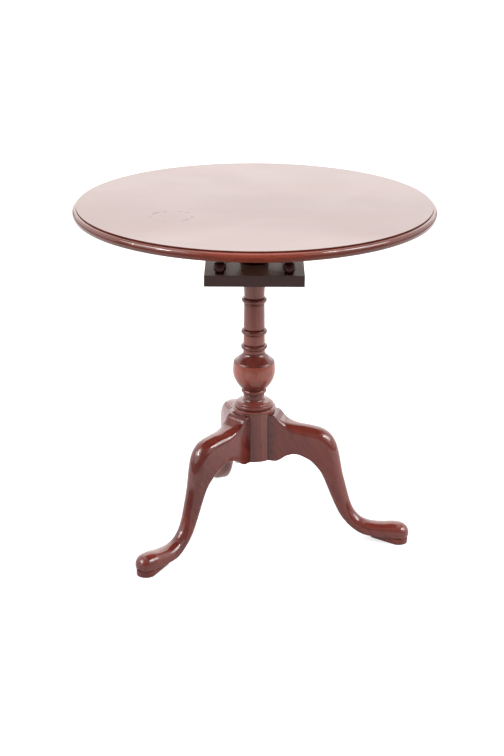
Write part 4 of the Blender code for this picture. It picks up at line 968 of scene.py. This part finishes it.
def mark_top(material):
    """A broken ring left by a glass, a faint scratch and a pale dot on the rim, in the polish and below."""
    tree = material.node_tree
    shader = tree.nodes["Principled BSDF"]
    place = add(tree, "ShaderNodeTexCoord").outputs["Object"]
    share = apart_from(tree, place, RING_MIDDLE, (RING_RADIUS, RING_RADIUS, MARK_DEPTH))
    off_ring = math_of(tree, "ABSOLUTE", math_of(tree, "SUBTRACT", share, 1.0), 0.0)
    ring = ramp(tree, off_ring, 0.0, RING_WIDTH / RING_RADIUS, 1.0, 0.0)
    kept = ramp(tree, noise(tree, place, RING_PATCHES, 1.0), *RING_BREAKS)
    ring = math_of(tree, "MULTIPLY", ring, kept)
    scratch = near(tree, place, SCRATCH_MIDDLE, SCRATCH_SIZE, 0.1)
    kept = ramp(tree, noise(tree, place, SCRATCH_PATCHES, 3.0), *SCRATCH_BREAKS, 0.0, SCRATCH_SHARE)
    scratch = math_of(tree, "MULTIPLY", scratch, kept)
    flaw = math_of(tree, "MAXIMUM", ring, scratch)
    pale_dot = near(tree, place, PALE_DOT_MIDDLE, PALE_DOT_SIZE, 0.3)
    colour = shader.inputs["Base Color"].links[0].from_socket
    colour = blend(tree, flaw, colour, RING_STAIN)
    polish = shader.inputs["Coat Weight"].links[0].from_socket
    lost = ramp(tree, math_of(tree, "MAXIMUM", flaw, pale_dot), 0.0, 1.0, 1.0, FLAW_POLISH)
    feed(tree, shader, {
        "Base Color": blend(tree, pale_dot, colour, PALE_DOT_COLOUR),
        "Coat Weight": math_of(tree, "MULTIPLY", polish, lost),
    })


top_line = top_profile()
rim_angles = np.linspace(0.0, math.tau, RIM_ANGLES, endpoint=False)
top_shape = turned(top_line, rim_angles)
top_wood = polished_wood("top_mahogany", TOP_DEEP, TOP_LIT, across_grain,
                         roughness=0.30, coat=1.0, coat_roughness=0.05, paler=TOP_BARE_AND_LIT)
cleat_wood = polished_wood("cleat_mahogany", CLEAT_DEEP, CLEAT_LIT, CLEAT_GRAIN,
                           roughness=0.48, coat=0.35, coat_roughness=0.20)
top_marks = {"relief": top_relief_and_shade(top_line), "dull": top_dull(top_line, rim_angles),
             "worn_dusty_and_lit": top_worn_and_lit(top_line, rim_angles)}
mark_top(top_wood)
fit(skin("round_top", top_shape, top_marks), "top", "top_mahogany", top_wood, "table_top")
for side in ("left", "right"):
    solid = "cleat_" + side
    fit(eased("tapered_" + solid, solid, CLEAT_ARRIS), "top", "cleat_mahogany", cleat_wood, solid)
    for place in ("front", "middle", "back"):
        screw = solid + "_screw_" + place
        fit(eased("steel_" + screw, screw, 0.0), "top", "screw_steel", screw_steel, screw)


# Catch: a brass bolt in a folded case on a plate under the top, pressed by a bowed spring and drawn
# back by a turned knob. Screws through the case's flanges hold it all to the top.

for name in ("catch_plate", "catch_case", "catch_spring"):
    arris = 0.0 if name == "catch_spring" else BRASS_ARRIS
    fit(eased("brass_" + name, name, arris), "top", "catch_brass", old_brass, name)
for place in ("front_left", "front_right", "back_left", "back_right"):
    solid = "catch_screw_" + place
    fit(eased("brass_" + solid, solid, 0.0), "top", "catch_brass", old_brass, solid)
fit(eased("brass_bolt", "catch_bolt", BRASS_ARRIS), "bolt", "catch_brass", old_brass, "catch_bolt")
fit(eased("brass_knob", "catch_knob", 0.0), "bolt", "catch_brass", old_brass, "catch_knob")


# Studio: a white floor that keeps the table's shadow, a white room that is darker in front and low
# down, and round lamps: a key and a fill in front, others at both sides, and wide ones behind, whose
# sheen lies on the polished top. Gloss lamps show in the polish alone, and soft lamps never in it.

FLOOR_HALF = 14.0
FLOOR_COLOUR = (0.52, 0.52, 0.52)
FLOOR_BEYOND = (0.18, 0.18, 0.18)
FLOOR_REACH = (2.80, 1.65, 1.0)
FLOOR_EDGE = (0.80, 1.20)
FLOOR_LIFT = 0.62
FLOOR_GLEAM = 0.15
FLOOR_GLEAM_ASIDE = 0.60
GLEAM_SPREAD = (0.10, 0.70)
ROOM_LIGHT = 0.80
FRONT_LIGHT = 0.42
FRONT_RISE = 0.2
FRONT_START = 0.15
FRONT_END = 0.85
SKIRT_LIGHT = 0.72
SKIRT_HEIGHT = (0.25, 0.42)
SHEEN_COLOUR = (1.0, 0.970, 0.940)
WHITE = (1.0, 1.0, 1.0, 1.0)
# Each lamp's name, azimuth from the front, elevation, width and strength, with angles in degrees
SUNS = (
    ("key_light", -63.0, 34.0, 10.0, 0.75),
    ("broad_key_light", -62.0, 30.0, 46.0, 0.80),
    ("fill_light", 60.0, 47.0, 9.0, 0.45),
    ("broad_fill_light", 60.0, 32.0, 46.0, 0.60),
    ("left_high_light", -86.0, 38.0, 28.0, 1.10),
    ("right_high_light", 86.0, 38.0, 28.0, 1.50),
    ("left_low_light", -122.0, 12.0, 60.0, 0.72),
    ("left_soft_light", -122.0, 12.0, 60.0, 0.53),
    ("right_low_light", 120.0, 12.0, 68.0, 0.90),
    ("right_soft_light", 120.0, 12.0, 68.0, 0.75),
    ("left_gloss_light", -71.0, 47.0, 24.0, 0.65),
    ("right_gloss_light", 72.0, 47.0, 24.0, 0.75),
    ("sheen_light", 180.0, 26.0, 60.0, 1.27),
    ("ceiling_light", 180.0, 75.0, 50.0, 0.80),
    ("front_sheen_light", 180.0, 35.5, 41.0, 0.16),
)
WARM_LAMPS = ("sheen_light", "front_sheen_light")
GLOSS_LAMPS = ("left_gloss_light", "right_gloss_light", "sheen_light")
SOFT_LAMPS = ("left_soft_light", "right_soft_light")


def seen_ray(tree):
    """1 for rays that show the background, from the camera or by gloss or glass, and 1 for the camera's."""
    path = add(tree, "ShaderNodeLightPath")
    glossy = math_of(tree, "MAXIMUM", path.outputs["Is Glossy Ray"], path.outputs["Is Transmission Ray"])
    return math_of(tree, "MAXIMUM", path.outputs["Is Camera Ray"], glossy), path.outputs["Is Camera Ray"]


floor_mesh = bpy.data.meshes.new("floor")
floor_points = np.array([(-1, -1, 0), (1, -1, 0), (1, 1, 0), (-1, 1, 0)]) * FLOOR_HALF
floor_mesh.from_pydata(floor_points.tolist(), [], [(0, 1, 2, 3)])
floor = placed("floor", floor_mesh)
floor_paint, floor_tree, floor_shader = fresh_material("floor_paint")
floor_seen, floor_camera = seen_ray(floor_tree)
floor_place = add(floor_tree, "ShaderNodeTexCoord").outputs["Object"]
floor_front = vector_of(floor_tree, "MINIMUM", floor_place, (FLOOR_HALF, 0.0, 0.0))
floor_far = length_of(floor_tree, vector_of(floor_tree, "DIVIDE", floor_front, FLOOR_REACH))
floor_paper = ramp(floor_tree, floor_far, *FLOOR_EDGE, 1.0, 0.0)
floor_colour = blend(floor_tree, floor_paper, FLOOR_BEYOND, FLOOR_COLOUR)
floor_aside = add(floor_tree, "ShaderNodeSeparateXYZ", None, {"Vector": floor_place}).outputs["X"]
floor_aside = math_of(floor_tree, "ABSOLUTE", floor_aside, 0.0)
floor_gleam = ramp(floor_tree, floor_aside, *GLEAM_SPREAD, FLOOR_GLEAM, FLOOR_GLEAM_ASIDE)
floor_gleam = math_of(floor_tree, "MULTIPLY", floor_seen, floor_gleam)
floor_gleam = math_of(floor_tree, "MULTIPLY", floor_gleam, floor_paper)
floor_bare = ramp(floor_tree, floor_paper, 0.0, 1.0, 1.0, FLOOR_LIFT)
floor_lift = math_of(floor_tree, "MULTIPLY", floor_camera, floor_bare)
floor_lift = math_of(floor_tree, "MAXIMUM", floor_lift, floor_gleam)
feed(floor_tree, floor_shader, {
    "Base Color": floor_colour, "Roughness": 1.0, "Specular IOR Level": 0.0,
    "Emission Color": WHITE, "Emission Strength": floor_lift,
})
floor_mesh.materials.append(floor_paint)

room = bpy.data.worlds.new("white_room")
bpy.context.scene.world = room
room.use_nodes = True
room_tree = room.node_tree
room_seen, room_camera = seen_ray(room_tree)
direction = add(room_tree, "ShaderNodeTexCoord").outputs["Generated"]
parts = add(room_tree, "ShaderNodeSeparateXYZ", None, {"Vector": direction})
above = math_of(room_tree, "MULTIPLY", parts.outputs["Z"], FRONT_RISE)
forward = math_of(room_tree, "SUBTRACT", above, parts.outputs["Y"])
walls = ramp(room_tree, forward, FRONT_START, FRONT_END, 1.0, FRONT_LIGHT)
skirt = ramp(room_tree, parts.outputs["Z"], *SKIRT_HEIGHT, SKIRT_LIGHT, 1.0)
walls = math_of(room_tree, "MULTIPLY", walls, skirt)
soft = math_of(room_tree, "MULTIPLY", walls, ROOM_LIGHT)
shown = math_of(room_tree, "MAXIMUM", walls, room_camera)
shown = add(room_tree, "ShaderNodeBackground", None, {"Color": WHITE, "Strength": shown}).outputs[0]
light = add(room_tree, "ShaderNodeBackground", None, {"Color": WHITE, "Strength": soft}).outputs[0]
either = add(room_tree, "ShaderNodeMixShader", None, {0: room_seen, 1: light, 2: shown}).outputs[0]
feed(room_tree, room_tree.nodes["World Output"], {"Surface": either})

for name, azimuth, elevation, spread, strength in SUNS:
    lamp = bpy.data.lights.new(name, "SUN")
    lamp.angle = math.radians(spread)
    lamp.energy = strength
    sun = placed(name, lamp)
    sun.rotation_euler = (math.radians(90.0 - elevation), 0.0, math.radians(azimuth))
    sun.visible_diffuse = name not in GLOSS_LAMPS
    sun.visible_glossy = name not in SOFT_LAMPS
    if name in WARM_LAMPS:
        lamp.color = SHEEN_COLOUR


# View: the photograph's, from in front and above. The picture is taller than wide, so the sensor's
# width lies along its rows from top to bottom.

CAMERA_DISTANCE = 3.1599
CAMERA_HEIGHT = 1.5083
CAMERA_PITCH = 20.327
CAMERA_YAW = 0.0755
CAMERA_ROLL = 0.21
FOCAL_PIXELS = 1623.9
PICTURE_ROWS = 756
SENSOR = 36.0

camera = bpy.data.cameras.new("camera")
camera.sensor_width = SENSOR
camera.lens = FOCAL_PIXELS * SENSOR / PICTURE_ROWS
viewer = placed("camera", camera)
viewer.matrix_world = (
    Matrix.Translation((0.0, -CAMERA_DISTANCE, CAMERA_HEIGHT))
    @ Matrix.Rotation(math.radians(CAMERA_YAW), 4, "Z")
    @ Matrix.Rotation(math.radians(90.0 - CAMERA_PITCH), 4, "X")
    @ Matrix.Rotation(math.radians(CAMERA_ROLL), 4, "Z")
)
bpy.context.scene.camera = viewer
bpy.context.scene.view_settings.view_transform = "Standard"
